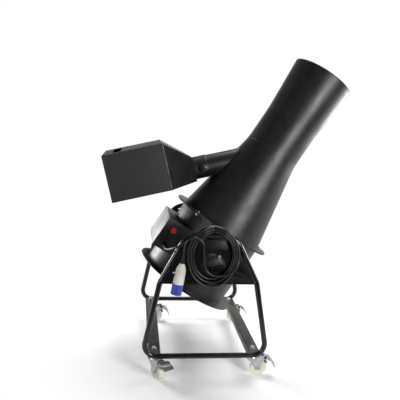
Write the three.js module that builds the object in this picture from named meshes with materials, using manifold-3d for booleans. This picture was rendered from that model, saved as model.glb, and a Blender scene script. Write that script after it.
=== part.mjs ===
// Confetti blower: an axial fan with a side hopper and a long barrel, tilting in a wheeled tube stand.
// Millimetres, +Z up. The floor is z = 0 and the part's origin is the middle of its box on the floor.
import * as THREE from "three";
import * as BufferGeometryUtils from "three/addons/utils/BufferGeometryUtils.js";
import Module from "manifold-3d";

const wasm = await Module();
wasm.setup();

// Clearances and counts
const SEAT_GAP = 0.3;
const RUNNING_GAP = 0.6;
const OVERRUN = 8;
const BARREL_SIDES = 44;
const ROUND_SIDES = 20;
const PIPE_SIDES = 32;
const TUBE_SIDES = 10;
const SMALL_SIDES = 10;
const BOLT_SIDES = 6;
const BEND_STEPS = 6;

// Stand: two bent tube loops joined by two flat bars
const TUBE_RADIUS = 12.5;
const STAND_WIDTH = 737;
const CASTOR_HEIGHT = 108;
const FOOT_HALF_LENGTH = 293.5;
const KNEE_HALF_LENGTH = 223;
const KNEE_BELOW_PIVOT = 64;
const HEAD_HALF_LENGTH = 110;
const HEAD_ABOVE_PIVOT = 160;
const FOOT_BEND = 56;
const KNEE_BEND = 120;
const HEAD_BEND = 100;
const BAR_WIDTH = 58;
const BAR_WALL = 2;
const BAR_HALF_SPACING = 236;
const PLATE_THICKNESS = 4;
const PLATE_BELOW_PIVOT = 70;
const PLATE_ABOVE_PIVOT = 135;

// Tilt: pivot bolt below, lock bolt above it in a curved slot
const PIVOT_X = 3;
const PIVOT_HEIGHT = 540;
const LOCK_RADIUS = 69.6;
const LEAN = THREE.MathUtils.degToRad(31.57);
const LEAN_LEAST = THREE.MathUtils.degToRad(1.57);
const LEAN_MOST = THREE.MathUtils.degToRad(61.57);
const SLOT_END_ANGLE = THREE.MathUtils.degToRad(1);
const PIVOT_SHANK_RADIUS = 8;
const PIVOT_WASHER_RADIUS = 15;
const LOCK_SHANK_RADIUS = 6;
const LOCK_WASHER_RADIUS = 12;
const WASHER_BORDER = 3;
const WASHER_THICKNESS = 2;
const BRACKET_WIDTH = 110;
const BRACKET_THICKNESS = 4;
const BRACKET_LOW = 205;
const BRACKET_HIGH = 60;
const BOLT_LINE_OFFSET = 21.5;
const PIVOT_BELOW_FLANGE = 164.6;

// Fan casing, cone, throat and mouth, along the barrel from the joint flange
const CASING_RADIUS = 225;
const CASING_LENGTH = 345.7;
const CASING_WALL = 3;
const FLANGE_RADIUS = 269.5;
const FLANGE_THICKNESS = 4;
const SHEET = 2;
const THROAT_RADIUS = 141;
const MOUTH_RADIUS = 161;
const THROAT_START = 454.7;
const MOUTH_START = 639.2;
const MOUTH_END = 914.6;
const MOUTH_HEM = 4;
const FLANGE_BOLT_CIRCLE = 248;
const FLANGE_BOLT_RADIUS = 4;
const FLANGE_HEAD_RADIUS = 8;
const FLANGE_HEAD_HEIGHT = 6;

// Hopper feed, measured out from the barrel's axis along the branch pipe
const FEED_START = 456.6;
const FEED_ANGLE = THREE.MathUtils.degToRad(44.3);
const PIPE_RADIUS = 55;
const PIPE_END = 409;
const SLEEVE_START = 342;
const FUNNEL_START = 411.5;
const FUNNEL_SMALL_HALF = 60;
const BOX_START = 547.5;
const BOX_END = 838;
const BOX_HALF_WIDTH = 170;
const BOX_HEIGHT = 228;
const SLOT_WIDTH = 40;
const SLOT_LENGTH = 236;
const SLOT_FROM_END = 50;
const KNOB_RADIUS = 18;
const KNOB_HEIGHT = 20;
const KNOB_LOBES = 6;
const KNOB_LOBE_DEPTH = 2.5;
const KNOB_SIDES = 36;
const KNOB_STUD_RADIUS = 4;
const KNOB_BOSS_RADIUS = 9;
const KNOB_BOSS_HEIGHT = 4;
const KNOB_FROM_FUNNEL = 44;

// Control box on the casing's upper left side
const CONTROL_OUT = 277.5;
const CONTROL_NEAR = 178;
const CONTROL_FAR = 126;
const CONTROL_LOW = 245.5;
const CONTROL_HIGH = 90;
const CONTROL_WALL = 1.5;
const COVER_LIP_DEPTH = 8;
const BUTTON_ACROSS = 225;
const BUTTON_DOWN = 135;
const BUTTON_RADIUS = 11;
const BUTTON_TRAVEL = 4;
const BUTTON_HEIGHT = 9;
const BUTTON_STEM_RADIUS = 6;
const BUTTON_STEM_LENGTH = 16;
const COLLAR_RADIUS = 16;
const COLLAR_HEIGHT = 7;
const GLAND_ACROSS = 226.5;
const GLAND_DOWN = 218.3;
const GLAND_RADIUS = 13;
const GLAND_MOUTH_RADIUS = 8;
const GLAND_THREAD_RADIUS = 8;
const GLAND_THREAD_LENGTH = 10;
const GLAND_NUT_LENGTH = 9;
const GLAND_LENGTH = 24;

// Fan inside the casing
const MOTOR_RADIUS = 95;
const MOTOR_LOW = 215;
const MOTOR_HIGH = 22;
const MOTOR_END_STEP = 14;
const MOTOR_WALL = 14;
const MOTOR_END_RADIUS = 70;
const SHAFT_RADIUS = 14;
const SHAFT_LENGTH = 84;
const SHAFT_IN_MOTOR = 22;
const HUB_RADIUS = 62;
const HUB_HEIGHT = 56;
const HUB_WALL = 5;
const HUB_BOSS_RADIUS = 22;
const BLADE_COUNT = 6;
const BLADE_TIP_GAP = 4;
const BLADE_THICKNESS = 5;
const BLADE_CHORD = 96;
const BLADE_PITCH = THREE.MathUtils.degToRad(34);
const ARM_THICKNESS = 5;
const ARM_LENGTH = 110;
const GUARD_WIRE_RADIUS = 2.5;
const GUARD_WIRE_SIDES = 4;
const GUARD_RADIUS = 236;
const GUARD_RING_COUNT = 5;
const GUARD_BARS = 2;
const GUARD_BAR_SIDES = 6;

// Castors: stem, swivelling fork, wheel and brake pedal
const CASTOR_FROM_FRAME = 46.5;
const WHEEL_RADIUS = 40;
const WHEEL_WIDTH = 24;
const WHEEL_CORNER = 4;
const CASTOR_TRAIL = 33;
const AXLE_RADIUS = 5;
const STEM_RADIUS = 6;
const RACE_RADIUS = 24;
const RACE_HEIGHT = 6;
const RIVET_HEAD_RADIUS = 10;
const RIVET_HEAD_HEIGHT = 4;
const NUT_RADIUS = 11;
const NUT_HEIGHT = 7;
const DOME_RADIUS = 9.5;
const DOME_HEIGHT = 8;
const STEM_END_ABOVE_BAR = 9;
const CROWN_RADIUS = 27;
const CROWN_HEIGHT = 12;
const FORK_SIDE = 3;
const FORK_HALF_TOP = 27;
const FORK_WHEEL_GAP = 1.5;
const FORK_AXLE_END_RADIUS = 13;
const FORK_WAIST_DROP = 22;
const PEDAL_PIN_OUT = 64;
const PEDAL_PIN_DROP = 9;
const PEDAL_PIN_RADIUS = 4;
const PEDAL_HUB_RADIUS = 6.5;
const PEDAL_EAR_RADIUS = 9;
const PEDAL_WIDTH = 54;
const PEDAL_THICKNESS = 3;
const PEDAL_SHOULDER_OUT = 24;
const PEDAL_BEND_OUT = 46;
const PEDAL_BEND_DROP = 14;
const PEDAL_TIP_OUT = 47;
const PEDAL_TIP_DROP = 50;
const BRAKE_SHOE_DEGREES = 35;
const BRAKE_SHOE_GAP = 0.8;
const BRAKE_SHOE_HEIGHT = 9;
const BRAKE_SHOE_LENGTH = 16;
const BRAKE_SHOE_WIDTH = 20;
const BRAKE_ARM_THICKNESS = 6;
const PEDAL_LIFTS = { near_left: 40, far_left: 0, near_right: 0, far_right: 0 };
const CASTOR_HEADINGS = { near_left: -60, far_left: 0, near_right: 0, far_right: 0 };

// Mains lead and its industrial plug
const CORD_RADIUS = 4.75;
const CORD_SIDES = 8;
const CORD_STEP = 22;
const COIL_SIDES = 6;
const COIL_STEPS_PER_TURN = 24;
const COIL_START_DEGREES = 135;
const COIL_FULL_TURNS = 5;
const COIL_X = 10;
const COIL_BELOW_HEAD = 90;
const COIL_RIGHT = 91.3;
const COIL_LEFT = 91.3;
const COIL_RISE_OVER_TUBE = 3.4;
const COIL_BOTTOM = 109;
const COIL_RIGHT_PITCH = 10.2;
const COIL_LEFT_PITCH = 12;
const COIL_TOP_PITCH = 10.2;
const COIL_BOTTOM_PITCH = 19.7;
const COIL_LAYER_PITCH = 11.2;
const COIL_OVER_TUBE_SPREAD = THREE.MathUtils.degToRad(30);
const COIL_CREST_SHARE = 0.3;
const COIL_REST_GAP = 0.8;
const PLUG_X = -130;
const PLUG_OUT = 39.5;
const PLUG_BELOW_HEAD = 124;
const PLUG_LEAN = THREE.MathUtils.degToRad(9);
const PLUG_RADIUS = 24.5;
const PLUG_SHOULDER_RADIUS = 20;
const PLUG_LENGTH = 92.4;
const PLUG_NECK_RADIUS = 12;
const PLUG_NECK_LENGTH = 18;
const PLUG_TAB_REACH = 8;
const PLUG_TAB_WIDTH = 10;
const PLUG_TAB_HEIGHT = 5;
const PLUG_TAB_DROP = 48;
const SHROUD_RADIUS = 25;
const SHROUD_LENGTH = 48.6;
const SHROUD_WALL = 2.5;
const SHROUD_FLOOR = 4;
const PIN_RADIUS = 2.6;
const PIN_LENGTH = 34;
const PIN_CIRCLE_RADIUS = 11;
const PIN_BASE_RADIUS = 18;
const PIN_BASE_THICKNESS = 6;
const PIN_COUNT = 3;

// Values that follow from the sizes above
const STAND_HALF = STAND_WIDTH / 2;
const FOOT_HEIGHT = CASTOR_HEIGHT + TUBE_RADIUS;
const BAR_TOP = CASTOR_HEIGHT + 2 * TUBE_RADIUS;
const PLATE_OUTER = STAND_HALF + PLATE_THICKNESS / 2;
const PLATE_INNER = STAND_HALF - PLATE_THICKNESS / 2;
const CASTOR_HALF_SPACING = STAND_HALF - CASTOR_FROM_FRAME;
const KNEE_HEIGHT = PIVOT_HEIGHT - KNEE_BELOW_PIVOT;
const HEAD_HEIGHT = PIVOT_HEIGHT + HEAD_ABOVE_PIVOT;
const PLATE_BOTTOM = PIVOT_HEIGHT - PLATE_BELOW_PIVOT;
const PLATE_TOP = PIVOT_HEIGHT + PLATE_ABOVE_PIVOT;

function paint(name, color, roughness, metalness) {
  return new THREE.MeshStandardMaterial({ name, color, roughness, metalness });
}
const FINISH = {
  blackPaint: paint("satin_black_paint", 0x151517, 0.38, 0.1),
  hopperPaint: paint("matt_black_paint", 0x1c1b1a, 0.6, 0.1),
  tubePaint: paint("gloss_black_paint", 0x0e0e0f, 0.25, 0.1),
  barPaint: paint("grey_hammer_paint", 0x55554f, 0.5, 0.3),
  zinc: paint("zinc_plate", 0xb9bcc0, 0.35, 0.9),
  nylon: paint("cream_nylon", 0xe6e0c8, 0.5, 0),
  motor: paint("grey_motor_enamel", 0x6d7276, 0.5, 0.2),
  cast: paint("cast_aluminium", 0xa8abad, 0.5, 0.8),
  label: paint("pale_cover", 0xc9c9cc, 0.4, 0.1),
  red: paint("red_button", 0xb3141c, 0.3, 0),
  redRing: paint("red_collar", 0xc9605c, 0.4, 0),
  blackPlastic: paint("black_plastic", 0x19191a, 0.5, 0),
  rubber: paint("black_rubber", 0x131314, 0.65, 0),
  plugWhite: paint("grey_white_plastic", 0xd8d8d0, 0.45, 0),
  plugBlue: paint("blue_plastic", 0x2f48b8, 0.4, 0),
  brass: paint("brass_pins", 0xc0a060, 0.3, 0.9),
};

// Closed bodies: merged vertices, faces turned outward
function volumeOf(geometry) {
  const p = geometry.attributes.position;
  const index = geometry.index.array;
  const a = new THREE.Vector3();
  const b = new THREE.Vector3();
  const c = new THREE.Vector3();
  let sum = 0;
  for (let i = 0; i < index.length; i += 3) {
    a.fromBufferAttribute(p, index[i]);
    b.fromBufferAttribute(p, index[i + 1]);
    c.fromBufferAttribute(p, index[i + 2]);
    sum += a.dot(b.cross(c));
  }
  return sum;
}
function closed(geometry) {
  const bare = geometry.clone();
  for (const name of Object.keys(bare.attributes)) if (name !== "position") bare.deleteAttribute(name);
  const merged = BufferGeometryUtils.mergeVertices(bare);
  const kept = [];
  const index = merged.index.array;
  for (let i = 0; i < index.length; i += 3) {
    const [a, b, c] = [index[i], index[i + 1], index[i + 2]];
    if (a !== b && b !== c && c !== a) kept.push(a, b, c);
  }
  merged.setIndex(kept);
  if (volumeOf(merged) < 0) {
    for (let i = 0; i < kept.length; i += 3) [kept[i], kept[i + 1]] = [kept[i + 1], kept[i]];
    merged.setIndex(kept);
  }
  return merged;
}
function solid(geometry) {
  const merged = closed(geometry);
  return new wasm.Manifold(new wasm.Mesh({
    numProp: 3,
    vertProperties: new Float32Array(merged.attributes.position.array),
    triVerts: new Uint32Array(merged.index.array),
  }));
}
function geometryOf(body) {
  const mesh = body.getMesh();
  const geometry = new THREE.BufferGeometry();
  geometry.setAttribute("position", new THREE.BufferAttribute(mesh.vertProperties, mesh.numProp));
  geometry.setIndex(new THREE.BufferAttribute(mesh.triVerts, 1));
  return geometry;
}
function piece(name, shape, material) {
  const geometry = shape.isBufferGeometry ? closed(shape) : geometryOf(shape);
  geometry.computeVertexNormals();
  const mesh = new THREE.Mesh(geometry, material);
  mesh.name = name;
  return mesh;
}

// Basic shapes, each standing on z and placed by its lowest level
function disc(radius, low, high, sides = ROUND_SIDES, topRadius = radius) {
  const height = high - low;
  const shape = new THREE.CylinderGeometry(topRadius, radius, height, sides);
  return shape.rotateX(Math.PI / 2).translate(0, 0, low + height / 2);
}
function block(low, high) {
  const size = [0, 1, 2].map((i) => high[i] - low[i]);
  const middle = [0, 1, 2].map((i) => (high[i] + low[i]) / 2);
  return new THREE.BoxGeometry(...size).translate(...middle);
}
function turned(profile, sides = BARREL_SIDES) {
  const points = profile.map(([radius, height]) => new THREE.Vector2(radius, height));
  return new THREE.LatheGeometry(points, sides).rotateX(Math.PI / 2);
}
function ring(innerRadius, outerRadius, low, high, sides = ROUND_SIDES) {
  const outside = [[outerRadius, low], [outerRadius, high]];
  return turned([[innerRadius, low], ...outside, [innerRadius, high], [innerRadius, low]], sides);
}
function slab(shape, thickness, curveSegments = SMALL_SIDES) {
  return new THREE.ExtrudeGeometry(shape, { depth: thickness, bevelEnabled: false, curveSegments });
}
function lyingAlongY(geometry) {
  return geometry.rotateX(Math.PI / 2);
}
function prismoid(low, high, start, end) {
  const corners = (r, z) => [[r[0], r[2], z], [r[1], r[2], z], [r[1], r[3], z], [r[0], r[3], z]];
  const places = [...corners(low, start), ...corners(high, end)];
  const ends = [0, 2, 1, 0, 3, 2, 4, 5, 6, 4, 6, 7];
  const sides = [0, 1, 2, 3].flatMap((i) => {
    const next = (i + 1) % 4;
    return [i, next, next + 4, i, next + 4, i + 4];
  });
  const geometry = new THREE.BufferGeometry();
  geometry.setAttribute("position", new THREE.BufferAttribute(new Float32Array(places.flat()), 3));
  geometry.setIndex([...ends, ...sides]);
  return geometry;
}

// A route that a round section follows, stepping exactly from point to point
class Route extends THREE.Curve {
  constructor(points, isLoop = false) {
    super();
    this.points = isLoop ? [...points, points[0]] : points;
    this.isLoop = isLoop;
  }
  getUtoTmapping(u) {
    return u;
  }
  indexAt(t) {
    return Math.round(t * (this.points.length - 1));
  }
  getPoint(t, target = new THREE.Vector3()) {
    return target.copy(this.points[this.indexAt(t)]);
  }
  getTangent(t, target = new THREE.Vector3()) {
    const last = this.points.length - 1;
    const i = this.indexAt(t);
    const isEnd = i === 0 || i === last;
    const here = this.points[i];
    const before = this.isLoop && isEnd ? this.points[last - 1] : this.points[Math.max(i - 1, 0)];
    const after = this.isLoop && isEnd ? this.points[1] : this.points[Math.min(i + 1, last)];
    const arriving = here.clone().sub(before).normalize();
    const leaving = after.clone().sub(here).normalize();
    return target.copy(arriving).add(leaving).normalize();
  }
}
function polygon(radius, sides) {
  const angles = Array.from({ length: sides }, (_, i) => (2 * Math.PI * (i + 0.5)) / sides);
  const cornerAt = (angle) => new THREE.Vector2(radius * Math.cos(angle), radius * Math.sin(angle));
  return new THREE.Shape(angles.map(cornerAt));
}
function rod(points, radius, sides) {
  const route = new Route(points);
  const settings = { steps: points.length - 1, bevelEnabled: false, extrudePath: route };
  return new THREE.ExtrudeGeometry(polygon(radius, sides), settings);
}

// Corners rounded by arcs, in a plane given as [x, z, bend radius]
function roundedCorner(before, corner, after, bend) {
  const here = new THREE.Vector2(corner[0], corner[1]);
  const back = new THREE.Vector2(before[0], before[1]).sub(here).normalize();
  const on = new THREE.Vector2(after[0], after[1]).sub(here).normalize();
  const half = Math.acos(back.dot(on)) / 2;
  const reach = bend / Math.tan(half);
  const centre = here.clone().add(back.clone().add(on).normalize().multiplyScalar(bend / Math.sin(half)));
  const start = here.clone().add(back.clone().multiplyScalar(reach)).sub(centre);
  const end = here.clone().add(on.clone().multiplyScalar(reach)).sub(centre);
  const from = start.angle();
  let sweep = end.angle() - from;
  if (sweep > Math.PI) sweep -= 2 * Math.PI;
  if (sweep < -Math.PI) sweep += 2 * Math.PI;
  const points = [];
  for (let i = 0; i <= BEND_STEPS; i += 1) {
    const angle = from + (sweep * i) / BEND_STEPS;
    points.push(new THREE.Vector2(centre.x + bend * Math.cos(angle), centre.y + bend * Math.sin(angle)));
  }
  return points;
}
function loopCorners() {
  const right = [
    [FOOT_HALF_LENGTH, FOOT_HEIGHT, FOOT_BEND],
    [KNEE_HALF_LENGTH, KNEE_HEIGHT, KNEE_BEND],
    [HEAD_HALF_LENGTH, HEAD_HEIGHT, HEAD_BEND],
  ];
  const left = right.map(([x, z, bend]) => [-x, z, bend]).reverse();
  return [...right, ...left];
}
function loopPoints() {
  const corners = loopCorners();
  const count = corners.length;
  return corners.flatMap((corner, i) => {
    const before = corners[(i + count - 1) % count];
    const after = corners[(i + 1) % count];
    return roundedCorner(before, corner, after, corner[2]);
  });
}

// Side frames: one tube bent into a closed loop
function loopTube(radius) {
  const route = new Route(loopPoints().map((p) => new THREE.Vector3(p.x, 0, p.y)), true);
  return new THREE.TubeGeometry(route, route.points.length - 1, radius, TUBE_SIDES, true);
}
function sideFrame(name, y) {
  const mesh = piece(name, loopTube(TUBE_RADIUS), FINISH.tubePaint);
  mesh.position.y = y;
  return mesh;
}

// Pivot plates: welded inside the upper part of each loop, with the pivot hole and the lock slot
function lockSlot() {
  const half = LOCK_SHANK_RADIUS + RUNNING_GAP;
  const low = Math.PI / 2 - LEAN_MOST - SLOT_END_ANGLE;
  const high = Math.PI / 2 - LEAN_LEAST + SLOT_END_ANGLE;
  const end = (angle) => {
    const [across, up] = [LOCK_RADIUS * Math.cos(angle), LOCK_RADIUS * Math.sin(angle)];
    return [PIVOT_X + across, PIVOT_HEIGHT + up];
  };
  const outline = new THREE.Shape();
  outline.absarc(PIVOT_X, PIVOT_HEIGHT, LOCK_RADIUS + half, low, high, false);
  outline.absarc(...end(high), half, high, high + Math.PI, false);
  outline.absarc(PIVOT_X, PIVOT_HEIGHT, LOCK_RADIUS - half, high, low, true);
  outline.absarc(...end(low), half, low + Math.PI, low + 2 * Math.PI, false);
  return outline;
}
function pivotPlate(name, y) {
  const flat = loopPoints();
  const whole = new THREE.Shape(flat);
  const upright = (geometry) => lyingAlongY(geometry).translate(0, PLATE_THICKNESS / 2, 0);
  const edge = FOOT_HALF_LENGTH + OVERRUN;
  let plate = solid(upright(slab(whole, PLATE_THICKNESS)));
  const kept = block([-edge, -PLATE_THICKNESS, PLATE_BOTTOM], [edge, PLATE_THICKNESS, PLATE_TOP]);
  plate = plate.intersect(solid(kept));
  plate = plate.subtract(solid(loopTube(TUBE_RADIUS + SEAT_GAP)));
  const cut = PLATE_THICKNESS + 2 * OVERRUN;
  const across = (geometry) => solid(lyingAlongY(geometry).translate(0, cut / 2, 0));
  plate = plate.subtract(across(slab(lockSlot(), cut)));
  const hole = disc(PIVOT_SHANK_RADIUS + RUNNING_GAP, 0, cut, SMALL_SIDES);
  plate = plate.subtract(across(hole.translate(PIVOT_X, PIVOT_HEIGHT, 0)));
  const mesh = piece(name, plate, FINISH.tubePaint);
  mesh.position.y = y;
  return mesh;
}

// Cross bars: flat box section between the two feet, bored for the castor stems
function crossBar(name, x) {
  const end = STAND_HALF - TUBE_RADIUS - SEAT_GAP;
  const half = BAR_WIDTH / 2;
  const insideHalf = half - BAR_WALL;
  const insideLow = [-insideHalf, -end - OVERRUN, CASTOR_HEIGHT + BAR_WALL];
  const inside = block(insideLow, [insideHalf, end + OVERRUN, BAR_TOP - BAR_WALL]);
  let bar = solid(block([-half, -end, CASTOR_HEIGHT], [half, end, BAR_TOP])).subtract(solid(inside));
  for (const y of [-CASTOR_HALF_SPACING, CASTOR_HALF_SPACING]) {
    const bore = disc(STEM_RADIUS + SEAT_GAP, CASTOR_HEIGHT - OVERRUN, BAR_TOP + OVERRUN, SMALL_SIDES);
    bar = bar.subtract(solid(bore.translate(0, y, 0)));
  }
  const mesh = piece(name, bar, FINISH.barPaint);
  mesh.position.x = x;
  return mesh;
}

// Castors
const RACE_TOP = CASTOR_HEIGHT - SEAT_GAP;
const RACE_BOTTOM = RACE_TOP - RACE_HEIGHT;
const CROWN_TOP = RACE_BOTTOM - RUNNING_GAP;
const CROWN_BOTTOM = CROWN_TOP - CROWN_HEIGHT;
const FORK_INNER = WHEEL_WIDTH / 2 + FORK_WHEEL_GAP;
const FORK_OUTER = FORK_INNER + FORK_SIDE;
const PEDAL_PIN_HEIGHT = CROWN_TOP - PEDAL_PIN_DROP;
function castorStem(name) {
  const rivetTop = CROWN_BOTTOM - RUNNING_GAP;
  const rivet = solid(disc(RIVET_HEAD_RADIUS, rivetTop - RIVET_HEAD_HEIGHT, rivetTop, SMALL_SIDES));
  const race = solid(disc(RACE_RADIUS, RACE_BOTTOM, RACE_TOP));
  const shankTop = BAR_TOP + STEM_END_ABOVE_BAR;
  const shank = solid(disc(STEM_RADIUS, rivetTop - RIVET_HEAD_HEIGHT, shankTop, SMALL_SIDES));
  return piece(name, race.add(shank).add(rivet), FINISH.zinc);
}
function castorNut(name) {
  const base = BAR_TOP + SEAT_GAP;
  const hexTop = base + NUT_HEIGHT;
  const boreTop = BAR_TOP + STEM_END_ABOVE_BAR + SEAT_GAP;
  const boreRadius = STEM_RADIUS + SEAT_GAP;
  const profile = [[boreRadius, base], [NUT_RADIUS, base], [NUT_RADIUS, hexTop]];
  for (const angle of [0, Math.PI / 6, Math.PI / 3]) {
    profile.push([DOME_RADIUS * Math.cos(angle), hexTop + DOME_HEIGHT * Math.sin(angle)]);
  }
  profile.push([0, hexTop + DOME_HEIGHT], [0, boreTop], [boreRadius, boreTop], [boreRadius, base]);
  return piece(name, turned(profile, SMALL_SIDES), FINISH.zinc);
}
function forkSideOutline() {
  const shoulder = CROWN_TOP - CROWN_HEIGHT / 2;
  const outline = new THREE.Shape();
  outline.moveTo(-FORK_HALF_TOP, shoulder);
  outline.lineTo(CASTOR_TRAIL - FORK_AXLE_END_RADIUS, WHEEL_RADIUS);
  outline.absarc(CASTOR_TRAIL, WHEEL_RADIUS, FORK_AXLE_END_RADIUS, Math.PI, 2 * Math.PI, false);
  const earLow = PEDAL_PIN_HEIGHT - PEDAL_EAR_RADIUS;
  const waist = [CASTOR_TRAIL + FORK_AXLE_END_RADIUS, earLow - FORK_WAIST_DROP / 2];
  outline.quadraticCurveTo(...waist, PEDAL_PIN_OUT, earLow);
  outline.absarc(PEDAL_PIN_OUT, PEDAL_PIN_HEIGHT, PEDAL_EAR_RADIUS, -Math.PI / 2, Math.PI / 2, false);
  outline.lineTo(FORK_HALF_TOP, shoulder);
  outline.closePath();
  return outline;
}
function castorFork(name) {
  const crown = disc(CROWN_RADIUS, CROWN_BOTTOM, CROWN_TOP);
  const bridgeTop = CROWN_TOP - SHEET;
  const bridge = block([-FORK_HALF_TOP, -FORK_OUTER, CROWN_BOTTOM], [FORK_HALF_TOP, FORK_OUTER, bridgeTop]);
  let fork = solid(crown).add(solid(bridge));
  for (const outer of [-FORK_INNER, FORK_OUTER]) {
    const side = lyingAlongY(slab(forkSideOutline(), FORK_SIDE, BEND_STEPS));
    fork = fork.add(solid(side.translate(0, outer, 0)));
  }
  const axleHalf = FORK_OUTER + FORK_SIDE;
  const axle = lyingAlongY(disc(AXLE_RADIUS, -axleHalf, axleHalf, SMALL_SIDES));
  fork = fork.add(solid(axle.translate(CASTOR_TRAIL, 0, WHEEL_RADIUS)));
  const bore = disc(STEM_RADIUS + RUNNING_GAP, CROWN_BOTTOM - OVERRUN, CROWN_TOP + OVERRUN, SMALL_SIDES);
  const pinHalf = FORK_OUTER + OVERRUN;
  const pinBore = lyingAlongY(disc(PEDAL_PIN_RADIUS + RUNNING_GAP, -pinHalf, pinHalf, SMALL_SIDES));
  fork = fork.subtract(solid(bore)).subtract(solid(pinBore.translate(PEDAL_PIN_OUT, 0, PEDAL_PIN_HEIGHT)));
  return piece(name, fork, FINISH.zinc);
}
function castorWheel(name) {
  const half = WHEEL_WIDTH / 2;
  const bore = AXLE_RADIUS + RUNNING_GAP;
  const shoulder = WHEEL_RADIUS - WHEEL_CORNER;
  const edge = half - WHEEL_CORNER;
  const tread = [[shoulder, -half], [WHEEL_RADIUS, -edge], [WHEEL_RADIUS, edge], [shoulder, half]];
  const wheel = lyingAlongY(turned([[bore, -half], ...tread, [bore, half], [bore, -half]], ROUND_SIDES));
  return piece(name, wheel.translate(CASTOR_TRAIL, 0, WHEEL_RADIUS), FINISH.nylon);
}
function brakeShoeOutline() {
  const turn = THREE.MathUtils.degToRad(BRAKE_SHOE_DEGREES);
  const outward = new THREE.Vector2(Math.cos(turn), Math.sin(turn));
  const along = new THREE.Vector2(-outward.y, outward.x);
  const axle = new THREE.Vector2(CASTOR_TRAIL - PEDAL_PIN_OUT, WHEEL_RADIUS - PEDAL_PIN_HEIGHT);
  const corner = (out, way) => axle.clone()
    .addScaledVector(outward, WHEEL_RADIUS + BRAKE_SHOE_GAP + out)
    .addScaledVector(along, (way * BRAKE_SHOE_LENGTH) / 2);
  const half = BRAKE_ARM_THICKNESS / 2;
  return new THREE.Shape([
    corner(0, -1),
    corner(BRAKE_SHOE_HEIGHT, -1),
    new THREE.Vector2(PEDAL_HUB_RADIUS + half, 0),
    new THREE.Vector2(-half, 0),
    corner(BRAKE_SHOE_HEIGHT, 1),
    corner(0, 1),
  ]);
}
function brakePedal(name, lift) {
  const curve = new THREE.CubicBezierCurve(
    new THREE.Vector2(0, 0),
    new THREE.Vector2(PEDAL_SHOULDER_OUT, 0),
    new THREE.Vector2(PEDAL_BEND_OUT, -PEDAL_BEND_DROP),
    new THREE.Vector2(PEDAL_TIP_OUT, -PEDAL_TIP_DROP),
  );
  const edge = (side) => curve.getPoints(BEND_STEPS).map((p, i) => {
    const along = curve.getTangent(i / BEND_STEPS);
    const shift = (side * PEDAL_THICKNESS) / 2;
    return new THREE.Vector2(p.x - along.y * shift, p.y + along.x * shift);
  });
  const outline = new THREE.Shape([...edge(1), ...edge(-1).reverse()]);
  const across = (shape, width) => lyingAlongY(slab(shape, width)).translate(0, width / 2, 0);
  const rootWidth = 2 * (FORK_INNER - RUNNING_GAP);
  const padStart = PEDAL_EAR_RADIUS + FORK_WHEEL_GAP;
  const padReach = PEDAL_TIP_OUT + PEDAL_WIDTH;
  const beyondEars = block([padStart, -PEDAL_WIDTH, -padReach], [padReach, PEDAL_WIDTH, padReach]);
  const pad = solid(across(outline, PEDAL_WIDTH)).intersect(solid(beyondEars));
  const hub = solid(lyingAlongY(disc(PEDAL_HUB_RADIUS, -rootWidth / 2, rootWidth / 2, SMALL_SIDES)));
  const pinHalf = FORK_OUTER + SHEET;
  const pin = solid(lyingAlongY(disc(PEDAL_PIN_RADIUS, -pinHalf, pinHalf, SMALL_SIDES)));
  const brake = solid(across(brakeShoeOutline(), BRAKE_SHOE_WIDTH));
  const lever = solid(across(outline, rootWidth)).add(pad).add(hub).add(pin).add(brake);
  const swing = new THREE.Group();
  swing.position.set(PEDAL_PIN_OUT, 0, PEDAL_PIN_HEIGHT);
  swing.rotation.y = -THREE.MathUtils.degToRad(lift);
  swing.add(piece(name, lever, FINISH.zinc));
  return swing;
}
function castor(label, x, y, heading) {
  const group = new THREE.Group();
  group.position.set(x, y, 0);
  const trailing = new THREE.Group();
  trailing.rotation.z = THREE.MathUtils.degToRad(heading);
  trailing.add(castorFork(`castor_fork_${label}`), castorWheel(`castor_wheel_${label}`));
  trailing.add(brakePedal(`brake_pedal_${label}`, PEDAL_LIFTS[label]));
  group.add(castorStem(`castor_stem_${label}`), castorNut(`castor_nut_${label}`), trailing);
  return group;
}

// Barrel skin: a flanged casing, a cone, a throat and a flared mouth
const CASING_INNER = CASING_RADIUS - CASING_WALL;
const FLANGE_BOLT_TURNS = [THREE.MathUtils.degToRad(-135), 0];
function flangeBoltPlaces() {
  const placeAt = (angle) => [FLANGE_BOLT_CIRCLE * Math.cos(angle), FLANGE_BOLT_CIRCLE * Math.sin(angle)];
  return FLANGE_BOLT_TURNS.map(placeAt);
}
function boredForFlangeBolts(body) {
  const reach = FLANGE_THICKNESS + OVERRUN;
  return flangeBoltPlaces().reduce((left, [x, y]) => {
    const bore = disc(FLANGE_BOLT_RADIUS + SEAT_GAP, -reach, reach, SMALL_SIDES).translate(x, y, 0);
    return left.subtract(solid(bore));
  }, body);
}
function fanCasing() {
  const low = -CASING_LENGTH;
  const high = -SEAT_GAP;
  const profile = [
    [CASING_INNER, low],
    [FLANGE_RADIUS, low],
    [FLANGE_RADIUS, low + FLANGE_THICKNESS],
    [CASING_RADIUS, low + FLANGE_THICKNESS],
    [CASING_RADIUS, high - FLANGE_THICKNESS],
    [FLANGE_RADIUS, high - FLANGE_THICKNESS],
    [FLANGE_RADIUS, high],
    [CASING_INNER, high],
    [CASING_INNER, low],
  ];
  return piece("fan_casing", boredForFlangeBolts(solid(turned(profile))), FINISH.blackPaint);
}
function coneBody(inner, outer, throatInner, throatOuter, start) {
  const end = [[throatOuter, THROAT_START], [throatInner, THROAT_START]];
  return turned([[inner, start], [outer, start], ...end, [inner, start]]);
}
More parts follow.
